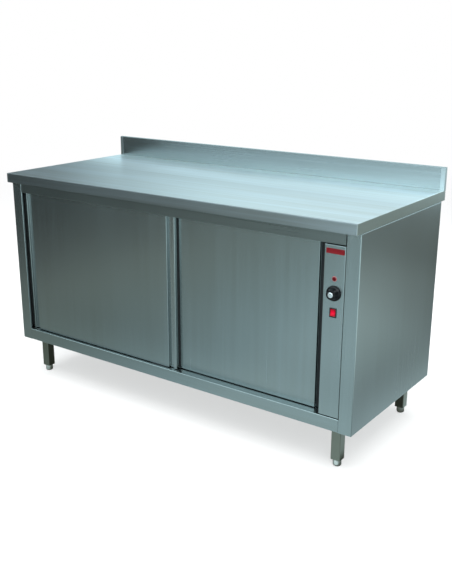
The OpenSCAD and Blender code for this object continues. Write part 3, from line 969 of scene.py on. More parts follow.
STEEL_HANGER = Metal("steel_hangers", (0.36, 0.37, 0.37), 0.38)
STEEL_SCREW = Metal("steel_screws", (0.48, 0.49, 0.48), 0.30)
HEATER = Metal("heater_sheath", (0.20, 0.17, 0.14), 0.45)
ALUMINIUM = Metal("aluminium_track", (0.55, 0.56, 0.57), 0.35, (4.0, 500.0, 500.0))
SILVER = Metal("knob_silver", (0.50, 0.52, 0.53), 0.24, (900.0, 60.0, 900.0), 0.10)
NYLON_WHITE = Moulded("nylon_white", (0.72, 0.71, 0.66), 0.45)
NYLON_BLACK = Moulded("nylon_black", (0.018, 0.018, 0.020), 0.42)
RUBBER = Moulded("rubber_black", (0.005, 0.006, 0.007), 0.62, 0.1 * MM, 500.0, 0.25)
KNOB_BLACK = Moulded("knob_black", (0.0015, 0.002, 0.003), 0.18, 0.01 * MM, gloss=0.16)
SWITCH_BLACK = Moulded("switch_black", (0.004, 0.004, 0.005), 0.34, 0.02 * MM, gloss=0.3)
BADGE_RED = Moulded("badge_red", (0.18, 0.004, 0.009), 0.30, 0.01 * MM, gloss=0.15)
GREY_PLASTIC = Moulded("plastic_grey", (0.10, 0.10, 0.105), 0.5)
IVORY = Moulded("plastic_ivory", (0.66, 0.60, 0.44), 0.4)
WIRE_BROWN = Moulded("wire_brown", (0.10, 0.045, 0.022), 0.4)
WOOL = Fibre("mineral_wool", (0.30, 0.25, 0.12), (0.62, 0.56, 0.32), 260.0)
BOARD = Fibre("chipboard", (0.28, 0.18, 0.09), (0.60, 0.45, 0.27), 160.0)
LAMP_RING = Moulded("lamp_ring", (0.30, 0.10, 0.105), 0.25, 0.01 * MM)
ROCKER_RED = Glowing(
    "rocker_red", (0.24, 0.001, 0.008), (1.0, 0.0, 0.045), 0.75, middle=(0.712, -0.32, 0.572), reach=0.013
)
LAMP_RED = Glowing(
    "lamp_red", (0.07, 0.001, 0.003), (0.35, 0.01, 0.02), 0.12, middle=(0.712, -0.323, 0.686), reach=0.012
)

CAD_FINISHES: dict[object, tuple[str, ...]] = {
    STEEL_TOP: ("worktop",),
    STEEL_X: ("splashback", "bottom_beam", "top_rail"),
    STEEL_Z: (
        "left_side_panel", "right_side_panel", "back_panel", "control_panel",
        "left_door_skin", "left_door_grips", "right_door_skin", "right_door_grips",
    ),
    STEEL_INNER: (
        "base_pan", "cavity_floor", "cavity_liner", "cavity_ceiling", "partition", "shelf",
        "shelf_supports", "left_door_back", "right_door_back", "air_grilles",
    ),
    STEEL_LEG: ("leg_front_left", "leg_front_right", "leg_rear_left", "leg_rear_right"),
    STEEL_FOOT: ("foot_front_left", "foot_front_right", "foot_rear_left", "foot_rear_right"),
    STEEL_HANGER: ("left_door_hangers", "right_door_hangers", "thermostat_spindle"),
    STEEL_SCREW: ("fasteners",),
    HEATER: ("heater_element",),
    ALUMINIUM: ("top_track",),
    SILVER: ("knob_cap",),
    NYLON_WHITE: (
        "left_door_roller_a", "left_door_roller_b", "right_door_roller_a", "right_door_roller_b",
    ),
    NYLON_BLACK: ("door_guide", "foot_inserts", "cable_gland", "fan_frame", "fan_impeller"),
    RUBBER: ("left_door_seal", "door_stops"),
    KNOB_BLACK: ("control_knob",),
    SWITCH_BLACK: ("switch_housing",),
    BADGE_RED: ("badge_plate",),
    GREY_PLASTIC: ("thermostat",),
    IVORY: ("terminal_block",),
    WIRE_BROWN: ("wiring",),
    WOOL: ("insulation", "left_door_core", "right_door_core"),
    BOARD: ("worktop_board",),
    ROCKER_RED: ("switch_rocker",),
    LAMP_RED: ("pilot_lamp",),
}


class Finishes:
    """Every finish, made once and handed out by its description."""

    def __init__(self) -> None:
        """Starts with no material made."""
        self.made: dict[object, bpy.types.Material] = {}

    def of(self, finish: object) -> bpy.types.Material:
        """Looks a finish up, and builds it the first time.

        Args:
            finish: Its description.

        Returns:
            The material.
        """
        if finish not in self.made:
            self.made[finish] = finish.material()
        return self.made[finish]

    def dress_frame(self, nodes: dict[str, Piece]) -> None:
        """Gives every node of the frame its finish.

        Args:
            nodes: The frame's nodes by name.
        """
        for finish, names in CAD_FINISHES.items():
            for name in names:
                materials = nodes[name].data.materials
                materials.clear()
                materials.append(self.of(finish))
        log.info("dressed %d nodes", len(nodes))


# ---- Sub-assemblies ----


class Fitter:
    """Finishes new pieces: material, shading, the body they ride on and the nodes they stand for."""

    SMOOTH = math.radians(32)

    def __init__(self, finishes: Finishes) -> None:
        """Takes the finishes that pieces are dressed in."""
        self.finishes = finishes
        self.count = 0

    def fit(
        self, obj: Piece, finish: object, slot: str, body: str = "cabinet", nodes: Sequence[str] = ()
    ) -> None:
        """Finishes a piece.

        Args:
            obj: The piece.
            finish: The description of its material.
            slot: The record's material slot; not used.
            body: The body that it rides on.
            nodes: The nodes of the frame that it stands for.
        """
        Bench.only(obj)
        bpy.ops.object.shade_smooth_by_angle(angle=self.SMOOTH)
        flat = obj.modifiers.new("flat_faces", "WEIGHTED_NORMAL")
        flat.keep_sharp = True
        Bench.apply(obj, flat)
        obj.data.materials.clear()
        obj.data.materials.append(self.finishes.of(finish))
        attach(obj, body)
        if nodes:
            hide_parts(*nodes)
        self.count += 1
        faces = len(obj.data.polygons)
        log.info("%s: %d faces, on %s, for %s", obj.name, faces, body, ", ".join(nodes) or "-")


@dataclass
class Worktop:
    """The top: one folded sheet with its splashback, and the splashback's closed ends."""

    fitter: Fitter
    half: float = 798.0
    front: float = -350.0
    splash: float = 335.0
    rear: float = 350.0
    under: float = 842.0
    top: float = 880.0
    crest: float = 965.0
    sheet: float = 1.2
    bend: float = 2.5
    under_return: float = 20.0
    gap: float = 1.4
    splash_inset: float = 0.7
    splash_bend: float = 1.8
    fold_bead: float = 1.1
    cap_sheet: float = 0.8
    cap_lap: float = 17.0
    cap_edge: float = 0.25

    def build(self) -> None:
        """Builds the sheet, the caps and the splashback."""
        self.fitter.fit(self.folded_sheet(), STEEL_TOP, "stainless_outer", nodes=("worktop",))
        for side, word in ((-1, "left"), (1, "right")):
            self.fitter.fit(self.cap(side, f"splash_cap_{word}"), STEEL_CAP, "stainless_outer")
        self.fitter.fit(self.upstand(), STEEL_SPLASH, "stainless_outer", nodes=("splashback",))

    def folded_sheet(self) -> Piece:
        """The top with its front and end edges and the returns under them.

        Returns:
            The sheet.
        """
        back = self.rear - self.gap
        obj = Bench.box("worktop_sheet", (-self.half, self.front, self.under), (self.half, back, self.top))
        with Bench.editing(obj):
            Bench.pick_faces(lambda at, normal: normal.z < -0.9)
            bpy.ops.mesh.inset(thickness=self.under_return * MM)
            bpy.ops.mesh.delete(type="FACE")
            Bench.pick_edges(lambda a, b: self.on_fold(a) and self.on_fold(b))
            Bench.bevel(self.bend, 6)
            Bench.slice((0, self.splash, 0), (0, 1, 0))
            Bench.pick_faces(lambda at, normal: at.y > self.splash and normal.z > 0.9)
            bpy.ops.mesh.delete(type="FACE")
        Bench.thicken(obj, self.sheet, -1.0)
        return obj

    def on_fold(self, p: Vector) -> bool:
        """Whether a point is on the sheet's outline, where it is folded or welded round."""
        return near(abs(p.x), self.half) or near(p.y, self.front) or near(p.y, self.rear - self.gap)

    def upstand(self) -> Piece:
        """The splashback's front, crest and rear skin, with the fold at its foot.

        Returns:
            The sheet.
        """
        half = self.sheet / 2
        path = [
            (self.splash + half, self.top - self.gap), (self.splash + half, self.crest - half),
            (self.rear - half, self.crest - half), (self.rear - half, self.under),
        ]
        end = self.half - self.splash_inset
        obj = Bench.strip("splash_sheet", Way.X, path, (-end, end), self.splash_bend)
        Bench.thicken(obj, self.sheet)
        fold_end, y, z = self.half - 2, self.splash - 0.1, self.top - 0.3
        fold = Bench.tube("splash_fold", [(-fold_end, y, z), (fold_end, y, z)], self.fold_bead)
        return Bench.join("splash_sheet", fold, obj)

    def cap(self, side: int, name: str) -> Piece:
        """One end of the splashback: a plate with a lap folded on to the front.

        Args:
            side: -1 for the left end, 1 for the right end.
            name: The piece's name.

        Returns:
            The cap.
        """
        half = self.cap_sheet / 2
        outer = side * (self.half - half)
        front, rear = self.splash - 0.3, self.rear - 0.2
        low, shoulder, high = self.top - 0.6, self.crest - 3.0, self.crest - 0.4
        outline = [
            (front, low), (front, shoulder), (self.splash + 2.2, high),
            (self.rear - 2.2, high), (rear, shoulder), (rear, low),
        ]
        plate = Bench.prism(name, Way.X, outline, (outer - half, outer + half), self.cap_edge)
        inner = side * (self.half - self.cap_lap)
        lap = Bench.box(
            name + "_lap", (min(inner, outer), self.splash - 0.7, self.top + 0.4),
            (max(inner, outer), self.splash + 0.1, self.crest - 2.6), self.cap_edge,
        )
        return Bench.join(name, lap, plate)


@dataclass
class Body:
    """The folded outer sheets round the cabinet."""

    fitter: Fitter
    half: float = 800.0
    front: float = -322.0
    rear: float = 316.0
    low: float = 158.0
    high: float = 842.0
    stile: float = 50.0
    sill: float = 205.0
    lintel: float = 800.0
    tuck: float = 60.0
    rail_half: float = 748.5
    rail_lip: float = 13.0
    beam_half: float = 749.6
    beam_lip: float = 17.0
    seam: float = 750.0
    weld: Pair = (1.6, 0.8)
    sheet: float = 1.0
    play: float = 0.05
    rear_gap: float = 1.5
    rear_lip: float = 17.5
    stile_lip: float = 7.0
    end_lip: float = 17.0
    end_bend: float = 1.8

    def build(self) -> None:
        """Builds the side panels, the rail and the beam."""
        for side, word in ((-1, "left"), (1, "right")):
            panel = self.side(side, f"{word}_side_sheet")
            self.fitter.fit(panel, STEEL_SIDE, "stainless_outer", nodes=(f"{word}_side_panel",))
        self.fitter.fit(self.rail(), STEEL_RAIL_SHADED, "stainless_outer", nodes=("top_rail",))
        self.fitter.fit(self.beam(), STEEL_X, "stainless_outer", nodes=("bottom_beam",))

    def rail(self) -> Piece:
        """The rail above the doors.

        Returns:
            The sheet.
        """
        half = self.sheet / 2
        face, under, over = self.front + half, self.lintel + half, self.high - half
        path = [
            (self.front + self.rail_lip, under), (face, under), (face, over), (self.front + self.tuck, over),
        ]
        obj = Bench.strip("rail_sheet", Way.X, path, (-self.rail_half, self.rail_half))
        Bench.thicken(obj, self.sheet)
        return obj

    def beam(self) -> Piece:
        """The beam below the doors, with the ground welds where it meets the stiles.

        Returns:
            The sheet and its welds as one piece.
        """
        half = self.sheet / 2
        face, under, over = self.front + half, self.low + half, self.sill - half
        path = [
            (self.front + self.tuck, over), (face, over), (face, under), (self.front + self.beam_lip, under),
        ]
        obj = Bench.strip("beam_sheet", Way.X, path, (-self.beam_half, self.beam_half))
        Bench.thicken(obj, self.sheet)
        wide, deep = self.weld
        welds = []
        for at in (-self.seam, self.seam):
            low = (at - wide, self.front, self.low + 0.4)
            high = (at + wide, self.front + deep, self.sill - 0.4)
            welds.append(Bench.box("weld", low, high, 0.1))
        return Bench.join("beam_sheet", *welds, obj)

    def side(self, side: int, name: str) -> Piece:
        """A side panel folded round the front into its stile, with lips at its other edges.

        Args:
            side: -1 for the left panel, 1 for the right one.
            name: The piece's name.

        Returns:
            The panel.
        """
        half = self.sheet / 2
        face = self.half - half - self.play
        stile = self.half - self.stile + half
        front, rear = self.front + half, self.rear - self.rear_gap
        path = [
            (face - self.rear_lip, rear), (face, rear), (face, front), (stile, front),
            (stile, self.front + self.stile_lip),
        ]
        obj = Bench.strip(name, Way.Z, [(side * x, y) for x, y in path], (self.low, self.high))
        for level in (self.low, self.high):
            on_end = edge_on(Way.Y, 100, lambda p, level=level: near(p.z, level) and near(abs(p.x), face))
            Bench.lip(obj, on_end, (-side * self.end_lip, 0, 0), self.end_bend)
        Bench.thicken(obj, self.sheet)
        return obj


@dataclass
class SlidingDoor:
    """One door: front sheet, folded ends with finger channels, hangers and wheels."""

    fitter: Fitter
    word: str
    x: float
    y: float
    width: float = 798.0
    depth: float = 18.0
    low: float = 208.0
    high: float = 806.0
    sheet: float = 1.0
    fold: float = 1.5
    flange: float = 14.0
    channel: float = 23.0
    hollow: float = 10.0
    lap: float = 1.5
    foot_lip: float = 5.0
    inset: float = 70.0
    hanger_foot: Point = (26.0, 7.0, 2.5)
    blade: Pair = (10.0, 1.25)
    weld: float = 1.1
    wheel: float = 11.0
    axle_r: float = 2.5
    axle_z: float = 827.3

    def build(self) -> None:
        """Builds the door's sheets, hangers and wheels."""
        body = f"{self.word}_door"
        self.fitter.fit(self.skin(), STEEL_DOOR, "stainless_doors", body, (f"{body}_skin",))
        self.fitter.fit(self.ends(), STEEL_GRIP, "stainless_doors", body, (f"{body}_grips",))
        self.fitter.fit(self.hangers(), STEEL_HANGER, "hanger_steel", body, (f"{body}_hangers",))
        for at, letter in ((self.x + self.inset, "a"), (self.x + self.width - self.inset, "b")):
            piece = self.wheels(at, f"{self.word}_wheels_{letter}")
            roller, node = f"{self.word}_roller_{letter}", f"{body}_roller_{letter}"
            self.fitter.fit(piece, NYLON_WHITE, "roller_nylon", roller, (node,))

    def skin(self) -> Piece:
        """The front sheet, turned back at both channels and below.

        Returns:
            The sheet.
        """
        half = self.sheet / 2
        left = self.x + self.flange + self.channel + half
        right = self.x + self.width - self.flange - self.channel - half
        face, back = self.y + half, self.y + self.hollow
        path = [(left, back), (left, face), (right, face), (right, back)]
        obj = Bench.strip(f"{self.word}_door_sheet", Way.Z, path, (self.low, self.high), self.fold)
        at_foot = edge_on(Way.X, 100, lambda p: near(p.z, self.low) and near(p.y, face))
        Bench.lip(obj, at_foot, (0, self.foot_lip, 0), 1.0)
        Bench.thicken(obj, self.sheet)
        return obj

    def ends(self) -> Piece:
        """Both folded ends: finger channel, flange and closing edge.

        Returns:
            The two ends as one piece.
        """
        half = self.sheet / 2
        wall, floor = self.flange - half, self.hollow + half
        path = [
            (self.flange + self.channel + self.lap, floor), (wall, floor), (wall, half), (half, half),
            (half, self.depth - self.sheet),
        ]
        parts = []
        for origin, sign in ((self.x, 1), (self.x + self.width, -1)):
            placed = [(origin + sign * a, self.y + b) for a, b in path]
            part = Bench.strip("end", Way.Z, placed, (self.low, self.high), self.fold)
            Bench.thicken(part, self.sheet)
            parts.append(part)
        return Bench.join(f"{self.word}_door_ends", *parts)

    def hangers(self) -> Piece:
        """Both hangers: welded foot, blade and rounded eye.

        Returns:
            The two hangers as one piece.
        """
        y, z = self.y + self.depth / 2, self.high
        long, deep, thick = self.hanger_foot
        wide, half = self.blade
        eye = [
            (2.6, -half), (9.7, -half), (wide, -0.95), (wide, 0.95), (9.7, half), (2.6, half), (2.6, -half),
        ]
        parts = []
        for at in (self.x + self.inset, self.x + self.width - self.inset):
            low, high = (at - long, y - deep, z), (at + long, y + deep, z + thick)
            parts.append(Bench.box("foot", low, high, 0.5))
            low, high = (at - wide, y - half, z + 2), (at + wide, y + half, self.axle_z)
            parts.append(Bench.box("blade", low, high, 0.2))
            parts.append(Bench.lathe("eye", Way.Y, eye, (at, y, self.axle_z)))
            for side in (y - 2.0, y + 2.0):
                line = [(at - 9, side, z + 2.9), (at + 9, side, z + 2.9)]
                parts.append(Bench.tube("weld", line, self.weld))
        return Bench.join(f"{self.word}_door_brackets", *parts)

    def wheels(self, at: float, name: str) -> Piece:
        """Two grooved wheels on one riveted axle.

        Args:
            at: Where the axle is along X.
            name: The piece's name.

        Returns:
            The wheels.
        """
        place = (at, self.y + self.depth / 2, self.axle_z)
        r = self.wheel
        rim = [
            (0, 3.2), (4.2, 3.2), (4.6, 3.6), (r - 2.6, 3.6), (r - 2.2, 3.2), (r - 0.5, 3.2), (r, 3.7),
            (r, 6.7), (r - 0.5, 7.2), (r - 2.2, 7.2), (r - 2.6, 6.6), (4.6, 6.6), (4.2, 7.2), (3.6, 7.2),
            (3.6, 7.6), (3.2, 7.8), (0, 7.8),
        ]
        front = Bench.lathe("wheel", Way.Y, [(a, -b) for a, b in rim], place, 36)
        rear = Bench.lathe("wheel", Way.Y, rim, place, 36)
        axle = Bench.pin("axle", Way.Y, self.axle_r, (-3.6, 3.6), place, 24)
        return Bench.join(name, front, rear, axle)


@dataclass
class DoorTrim:
    """Rubber and nylon round the doors: seal, a black strip of painted shade in a finger channel, guide
    block and buffers.
    """

    fitter: Fitter
    seal_z: Pair = (210.0, 798.0)
    strip_z: Pair = (209.0, 799.0)
    buffer_z: Pair = (215.0, 798.0)
    sill: float = Body.sill
    guide_x: Pair = (-77.5, 2.5)
    guide_y: Pair = (-305.0, -269.0)
    fin_y: Pair = (-297.0, -277.0)
    screw_x: Pair = (-65.0, -10.0)

    def build(self) -> None:
        """Builds the trim."""
        self.fitter.fit(self.seal(), RUBBER, "black_rubber", "left_door", ("left_door_seal",))
        # A black rubber strip that paints the shade in the right door's right finger channel.
        self.fitter.fit(self.channel_strip(), RUBBER, "black_rubber", "right_door")
        self.fitter.fit(self.guide(), NYLON_BLACK, "black_nylon", nodes=("door_guide",))
        self.fitter.fit(self.buffers(), RUBBER, "black_rubber", nodes=("door_stops",))

    def seal(self) -> Piece:
        """The seal behind the left door's meeting edge, with a rounded lip.

        Returns:
            The seal.
        """
        outline = [
            (34, -288), (52.2, -288), (53, -287.6), (53, -287.2), (52.2, -286.8), (50.5, -286.9),
            (48, -287.2), (34, -287.2),
        ]
        return Bench.prism("meeting_seal", Way.Z, outline, self.seal_z, 0.1)

    def channel_strip(self) -> Piece:
        """A black strip on the floor of the right door's right finger channel, which paints the shade in
        that deep channel.

        Returns:
            The strip.
        """
        outline = [
            (639.2, -276.1), (639.2, -277.2), (640.0, -277.8), (653.0, -277.8), (653.8, -277.2),
            (653.8, -276.1),
        ]
        return Bench.prism("channel_strip", Way.Z, outline, self.strip_z, 0.2)

    def guide(self) -> Piece:
        """The guide block with a fin for each door's groove and two countersunk screws.

        Returns:
            The block.
        """
        (left, right), (front, rear) = self.guide_x, self.guide_y
        base = Bench.box("base", (left, front, self.sill), (right, rear, self.sill + 2), 0.4)
        fins = [
            Bench.box("fin", (left, y - 2, self.sill + 1), (right, y + 2, self.sill + 11), 0.7, 3)
            for y in self.fin_y
        ]
        profile = [(0, 2.1), (1.6, 2.1), (1.9, 2.4), (3.2, 2.25), (3.4, 1.8), (0, 1.8)]
        middle = (front + rear) / 2
        screws = [Bench.lathe("screw", Way.Z, profile, (x, middle, self.sill), 24) for x in self.screw_x]
        return Bench.join("door_guide_block", *screws, *fins, base)

    def buffers(self) -> Piece:
        """The two rubber buffers with grooved noses.

        Returns:
            Both as one piece.
        """
        left = Bench.prism("left", Way.Z, [
            (-769, -302), (-768, -303), (-756, -303), (-754.8, -301.5), (-756, -300), (-752, -299.2),
            (-750.3, -297.5), (-750.3, -294.5), (-752, -292.8), (-756, -292), (-754.8, -290.5), (-756, -289),
            (-769, -289),
        ], self.buffer_z, 0.2)
        right = Bench.prism("right", Way.Z, [
            (690, -284), (681, -284), (679.5, -282.5), (681, -281), (677, -280.3), (675.3, -278.6),
            (675.3, -275.4), (677, -273.7), (681, -273), (679.5, -271.5), (681, -270), (690, -270),
        ], self.buffer_z, 0.2)
        return Bench.join("door_buffers", left, right)


@dataclass
class Controls:
    """The control panel with its badge plate, lamp, knob and rocker switch."""

    fitter: Fitter
    line: float = 712.0
    face: float = -320.0
    left: float = 672.0
    right: float = 748.5
    low: float = 208.0
    high: float = 795.5
    badge_z: float = 776.0
    lamp_z: float = 686.0
    knob_z: float = 638.0
    switch_z: float = 573.0
    sheet: float = 1.0
    wall: float = 29.5
    wall_lip: float = 18.0
    edge_lip: float = 14.0
    end_lip: float = 12.0
    badge_half: Pair = (32.5, 8.5)
    lens: Pair = (6.45, 2.8)
    skirt: float = 25.5
    flutes: int = 12
    flute_at: float = 20.9
    pointer: float = 35.0
    rocker_half: float = 8.9
    rocker_reach: float = 12.0
    rocker_tilt: float = -10.0

    def build(self) -> None:
        """Builds the panel and everything on it."""
        self.fitter.fit(self.tray(), STEEL_PANEL, "stainless_outer", nodes=("control_panel",))
        self.fitter.fit(self.badge(), BADGE_RED, "badge_red", nodes=("badge_plate",))
        self.fitter.fit(self.lamp_ring(), LAMP_RING, "lamp_red")
        self.fitter.fit(self.lamp_lens(), LAMP_RED, "lamp_red", nodes=("pilot_lamp",))
        self.fitter.fit(self.knob(), KNOB_BLACK, "knob_black", "knob", ("control_knob",))
        self.fitter.fit(self.knob_cap(), SILVER, "knob_silver", "knob", ("knob_cap",))
        self.fitter.fit(self.housing(), SWITCH_BLACK, "switch_black", nodes=("switch_housing",))
        self.fitter.fit(self.rocker(), ROCKER_RED, "rocker_red", "rocker", ("switch_rocker",))

    def block(self, name: str, z: float, half: Pair, depth: Pair, edge: float = 0.0) -> Piece:
        """A box on the panel's middle line.

        Args:
            name: Its name.
            z: Height of its middle.
            half: Half its width and half its height.
            depth: Where it begins and ends, counted backwards from the panel's face.
            edge: Radius of its edges; 0 leaves them sharp.

        Returns:
            The box.
        """
        low = (self.line - half[0], self.face + depth[0], z - half[1])
        high = (self.line + half[0], self.face + depth[1], z + half[1])
        return Bench.box(name, low, high, edge)

    @staticmethod
    def sink_front(plate: Piece, corner: float, rim: float, slope: float, sink: float) -> None:
        """Rounds a plate's corners and sinks its front inside a rim.

        Args:
            plate: The plate.
            corner: Radius of its corners.
            rim: Width of the rim.
            slope: Width of the slope inside the rim.
            sink: How deep the front is sunk.
        """
        with Bench.editing(plate):
            Bench.round_along(Way.Y, corner)
            Bench.pick_faces(lambda at, normal: normal.y < -0.9)
            bpy.ops.mesh.inset(thickness=rim * MM)
            bpy.ops.mesh.inset(thickness=slope * MM, depth=-sink * MM)

    def tray(self) -> Piece:
        """The folded front with closed top and bottom.

        Returns:
            The sheet.
        """
        half = self.sheet / 2
        face, wall = self.face + half, self.face + self.wall
        left, right = self.left + half, self.right - half
        path = [
            (self.left + self.wall_lip, wall), (left, wall), (left, face), (right, face),
            (right, self.face + self.edge_lip),
        ]
        obj = Bench.strip("panel_sheet", Way.Z, path, (self.low, self.high), 2.5)
        for level in (self.low, self.high):
            on_end = edge_on(Way.X, 40, lambda p, level=level: near(p.z, level) and near(p.y, face))
            Bench.lip(obj, on_end, (0, self.end_lip, 0), 1.2)
        Bench.thicken(obj, self.sheet)
        return obj

    def badge(self) -> Piece:
        """A bare plate with a raised rim.

        Returns:
            The plate.
        """
        obj = self.block("badge", self.badge_z, self.badge_half, (-1.2, 0))
        self.sink_front(obj, corner=2.0, rim=1.1, slope=0.3, sink=0.35)
        Bench.soften(obj, 0.15)
        return obj

    def lamp_ring(self) -> Piece:
        """The lamp's round bezel.

        Returns:
            The bezel.
        """
        profile = [(6.4, 0.4), (6.6, -1.2), (7.2, -1.2), (8.4, -1.0), (9.0, -0.4), (9.0, 0.2), (6.4, 0.4)]
        return Bench.lathe("lamp_bezel", Way.Y, profile, (self.line, self.face, self.lamp_z))

    def lamp_lens(self) -> Piece:
        """The lamp's domed lens and the tube behind the panel.

        Returns:
            The lens.
        """
        radius, rise = self.lens
        angles = [i * math.pi / 16 for i in range(8, -1, -1)]
        dome = [(radius * math.cos(a), -1.0 - rise * math.sin(a)) for a in angles]
        tube = [(radius, 25.4), (5.9, 26), (0, 26)]
        return Bench.lathe("lamp_lens", Way.Y, dome + tube, (self.line, self.face, self.lamp_z))

    def knob(self) -> Piece:
        """The knob's skirt and fluted grip.

        Returns:
            The knob.
        """
        at = (self.line, self.face, self.knob_z)
        r = self.skirt
        profile = [
            (0, -22.9), (8.8, -22.9), (9.6, -22.6), (14.6, -23.0), (15.8, -22.7), (16.6, -21.9),
            (17.3, -20.4), (18.8, -8.6), (19.4, -7.4), (20.6, -6.6), (22.0, -6.2), (23.6, -5.7),
            (24.8, -4.9), (25.4, -3.9), (r, -2.6), (r, -1.6), (25.1, -1.1), (24.2, -1.0), (7.8, -1.0),
            (7.8, -4.4), (3.2, -4.4), (3.2, -18), (0, -18),
        ]
        obj = Bench.lathe("knob_grip", Way.Y, profile, at, 96)
        flute = [(0, -26), (2.9, -26), (2.9, -11.5), (2.2, -9.4), (0, -8.6)]
        side = (self.line + self.flute_at, self.face, self.knob_z)
        cutters = []
        for i in range(self.flutes):
            cutter = Bench.lathe("flute", Way.Y, flute, side, 20)
            Bench.turn(cutter, Way.Y, (i + 0.5) * 360.0 / self.flutes, at)
            cutters.append(cutter)
        Bench.cut(obj, Bench.join("flutes", *cutters))
        Bench.soften(obj, 0.35, 40.0)
        return obj

    def knob_cap(self) -> Piece:
        """The silver cap with its pointer slot.

        Returns:
            The cap.
        """
        at = (self.line, self.face, self.knob_z)
        profile = [
            (0, -25.9), (6.5, -25.75), (8.3, -25.3), (9.2, -24.5), (9.5, -23.6), (9.5, -22.2),
            (9.0, -21.4), (0, -21.4),
        ]
        obj = Bench.lathe("knob_disc", Way.Y, profile, at, 72)
        slot = self.block("slot", self.knob_z, (9, 0.9), (-28, -24.9))
        Bench.turn(slot, Way.Y, self.pointer, at)
        Bench.cut(obj, slot)
        Bench.soften(obj, 0.15, 40.0)
        return obj

    def housing(self) -> Piece:
        """The switch's bezel and body with the rocker's recess.

        Returns:
            The housing.
        """
        body = self.block("body", self.switch_z, (10.8, 14.2), (-1, 22), 0.5)
        bezel = self.block("bezel", self.switch_z, (12.5, 16), (-2, 0))
        self.sink_front(bezel, corner=1.6, rim=0.9, slope=0.4, sink=0.3)
        opening = (self.rocker_half + 0.4, self.rocker_reach + 0.6)
        for part in (bezel, body):
            Bench.cut(part, self.block("recess", self.switch_z, opening, (-3, 15)))
        Bench.soften(bezel, 0.2, 40.0)
        return Bench.join("switch_body", body, bezel)

    def rocker(self) -> Piece:
        """The rocker with its two sloping halves, tilted as it rests.

        Returns:
            The rocker.
        """
        reach, half = self.rocker_reach, self.rocker_half
        pivot = (self.line, self.face + 2, self.switch_z)
        shares = [i / 8 for i in range(-8, 9)]
        front = [(pivot[1] - 3.3 - 1.9 * abs(t) ** 1.5, self.switch_z + t * (reach - 0.6)) for t in shares]
        back = pivot[1] + 3.8
        rear = [(back, self.switch_z + reach - 2.2), (back, self.switch_z - reach + 2.2)]
        obj = Bench.prism("switch_key", Way.X, front + rear, (self.line - half, self.line + half), 0.3)
        Bench.turn(obj, Way.X, self.rocker_tilt, pivot)
        return obj


@dataclass
class Legs:
    """Four square legs with welded plates, their plugs and adjustable feet."""

    fitter: Fitter
    x: float = 721.0
    front: float = -259.0
    rear: float = 261.0
    width: float = 36.0
    show: float = 27.0
    top: float = 159.0
    wall: float = 1.5
    corner: float = 3.0
    plate: float = 80.0
    plate_t: float = 4.0
    plate_corner: float = 4.0
    bolt_inset: float = 28.0
    bead: float = 1.7
    foot_r: float = 15.0
    foot_round: float = 8.0
    thread_r: float = 5.0
    thread_pitch: float = 0.75
    plug_high: float = 20.0

    def build(self) -> None:
        """Builds a leg, a foot and a plug, and copies each to every corner."""
        places = {
            "front_left": (-self.x, self.front, 0.0), "front_right": (self.x, self.front, 0.0),
            "rear_left": (-self.x, self.rear, 0.0), "rear_right": (self.x, self.rear, 0.0),
        }
        models = (
            (self.leg(), "leg_tube", STEEL_LEG, "stainless_legs", "leg"),
            (self.foot(), "foot_turned", STEEL_FOOT, "feet_steel", "foot"),
        )
        for model, piece, finish, slot, node in models:
            for corner, place in places.items():
                body = f"foot_{corner}" if node == "foot" else "cabinet"
                twin = Bench.copy(model, f"{piece}_{corner}", place)
                self.fitter.fit(twin, finish, slot, body, (f"{node}_{corner}",))
            bpy.data.objects.remove(model)
        plugs = Bench.spread(self.plug(), places.values())
        self.fitter.fit(Bench.join("leg_plugs", *plugs), NYLON_BLACK, "black_nylon", nodes=("foot_inserts",))

    def leg(self) -> Piece:
        """A tube welded under its plate.

        Returns:
            The leg, on the origin.
        """
        half = self.width / 2
        low = self.top - self.plate_t
        tube = Bench.box("leg", (-half, -half, self.show), (half, half, low))
        with Bench.editing(tube):
            Bench.pick_faces(lambda at, normal: abs(normal.z) > 0.9)
            bpy.ops.mesh.delete(type="FACE")
            Bench.round_along(Way.Z, self.corner)
        Bench.thicken(tube, self.wall, -1.0)
        edge = self.plate / 2
        plate = Bench.box("plate", (-edge, -edge, low), (edge, edge, self.top))
        with Bench.editing(plate):
            Bench.round_along(Way.Z, self.plate_corner)
        Bench.soften(plate, 0.4)
        reach, z = half + 0.3, low - 0.4
        corners = [(-reach, -reach, z), (reach, -reach, z), (reach, reach, z), (-reach, reach, z)]
        bead = Bench.tube("bead", corners, self.bead, 3.5, closed=True)
        return Bench.join("leg", bead, plate, tube)

    def foot(self) -> Piece:
        """A turned foot with a round lower rim, a groove and its threaded stem.

        Returns:
            The foot, on the origin.
        """
        r, bow = self.foot_r, self.foot_round
        angles = [i * math.pi / 16 for i in range(9)]
        rim = [(r - bow + bow * math.sin(a), bow - bow * math.cos(a)) for a in angles]
        waist = [
            (r, 20.2), (r - 0.7, 20.9), (r - 0.7, 21.7), (r, 22.4), (r, 25.4), (r - 0.4, 26.3),
            (r - 1.2, 26.7), (self.thread_r, 26.7),
        ]
        thread = [(self.thread_r - 0.55 * (i % 2), 27.4 + i * self.thread_pitch) for i in range(66)]
        end = [(4.2, 77.4), (0, 77.7)]
        return Bench.lathe("foot", Way.Z, [(0, 0)] + rim + waist + thread + end, (0, 0, 0), 40)

    def plug(self) -> Piece:
        """A plug for the end of a tube, with the stem's hole.

        Returns:
            The plug, on the origin.
        """
        half = self.width / 2 - self.wall
        low = self.show + 1
        body = Bench.box("plug", (-half, -half, low), (half, half, low + self.plug_high))
        with Bench.editing(body):
            Bench.round_along(Way.Z, 1.5, 3)
        Bench.cut(body, Bench.pin("hole", Way.Z, self.thread_r + 0.2, (20, 60), (0, 0, 0), 32))
        Bench.soften(body, 0.5, 40.0)
        return body


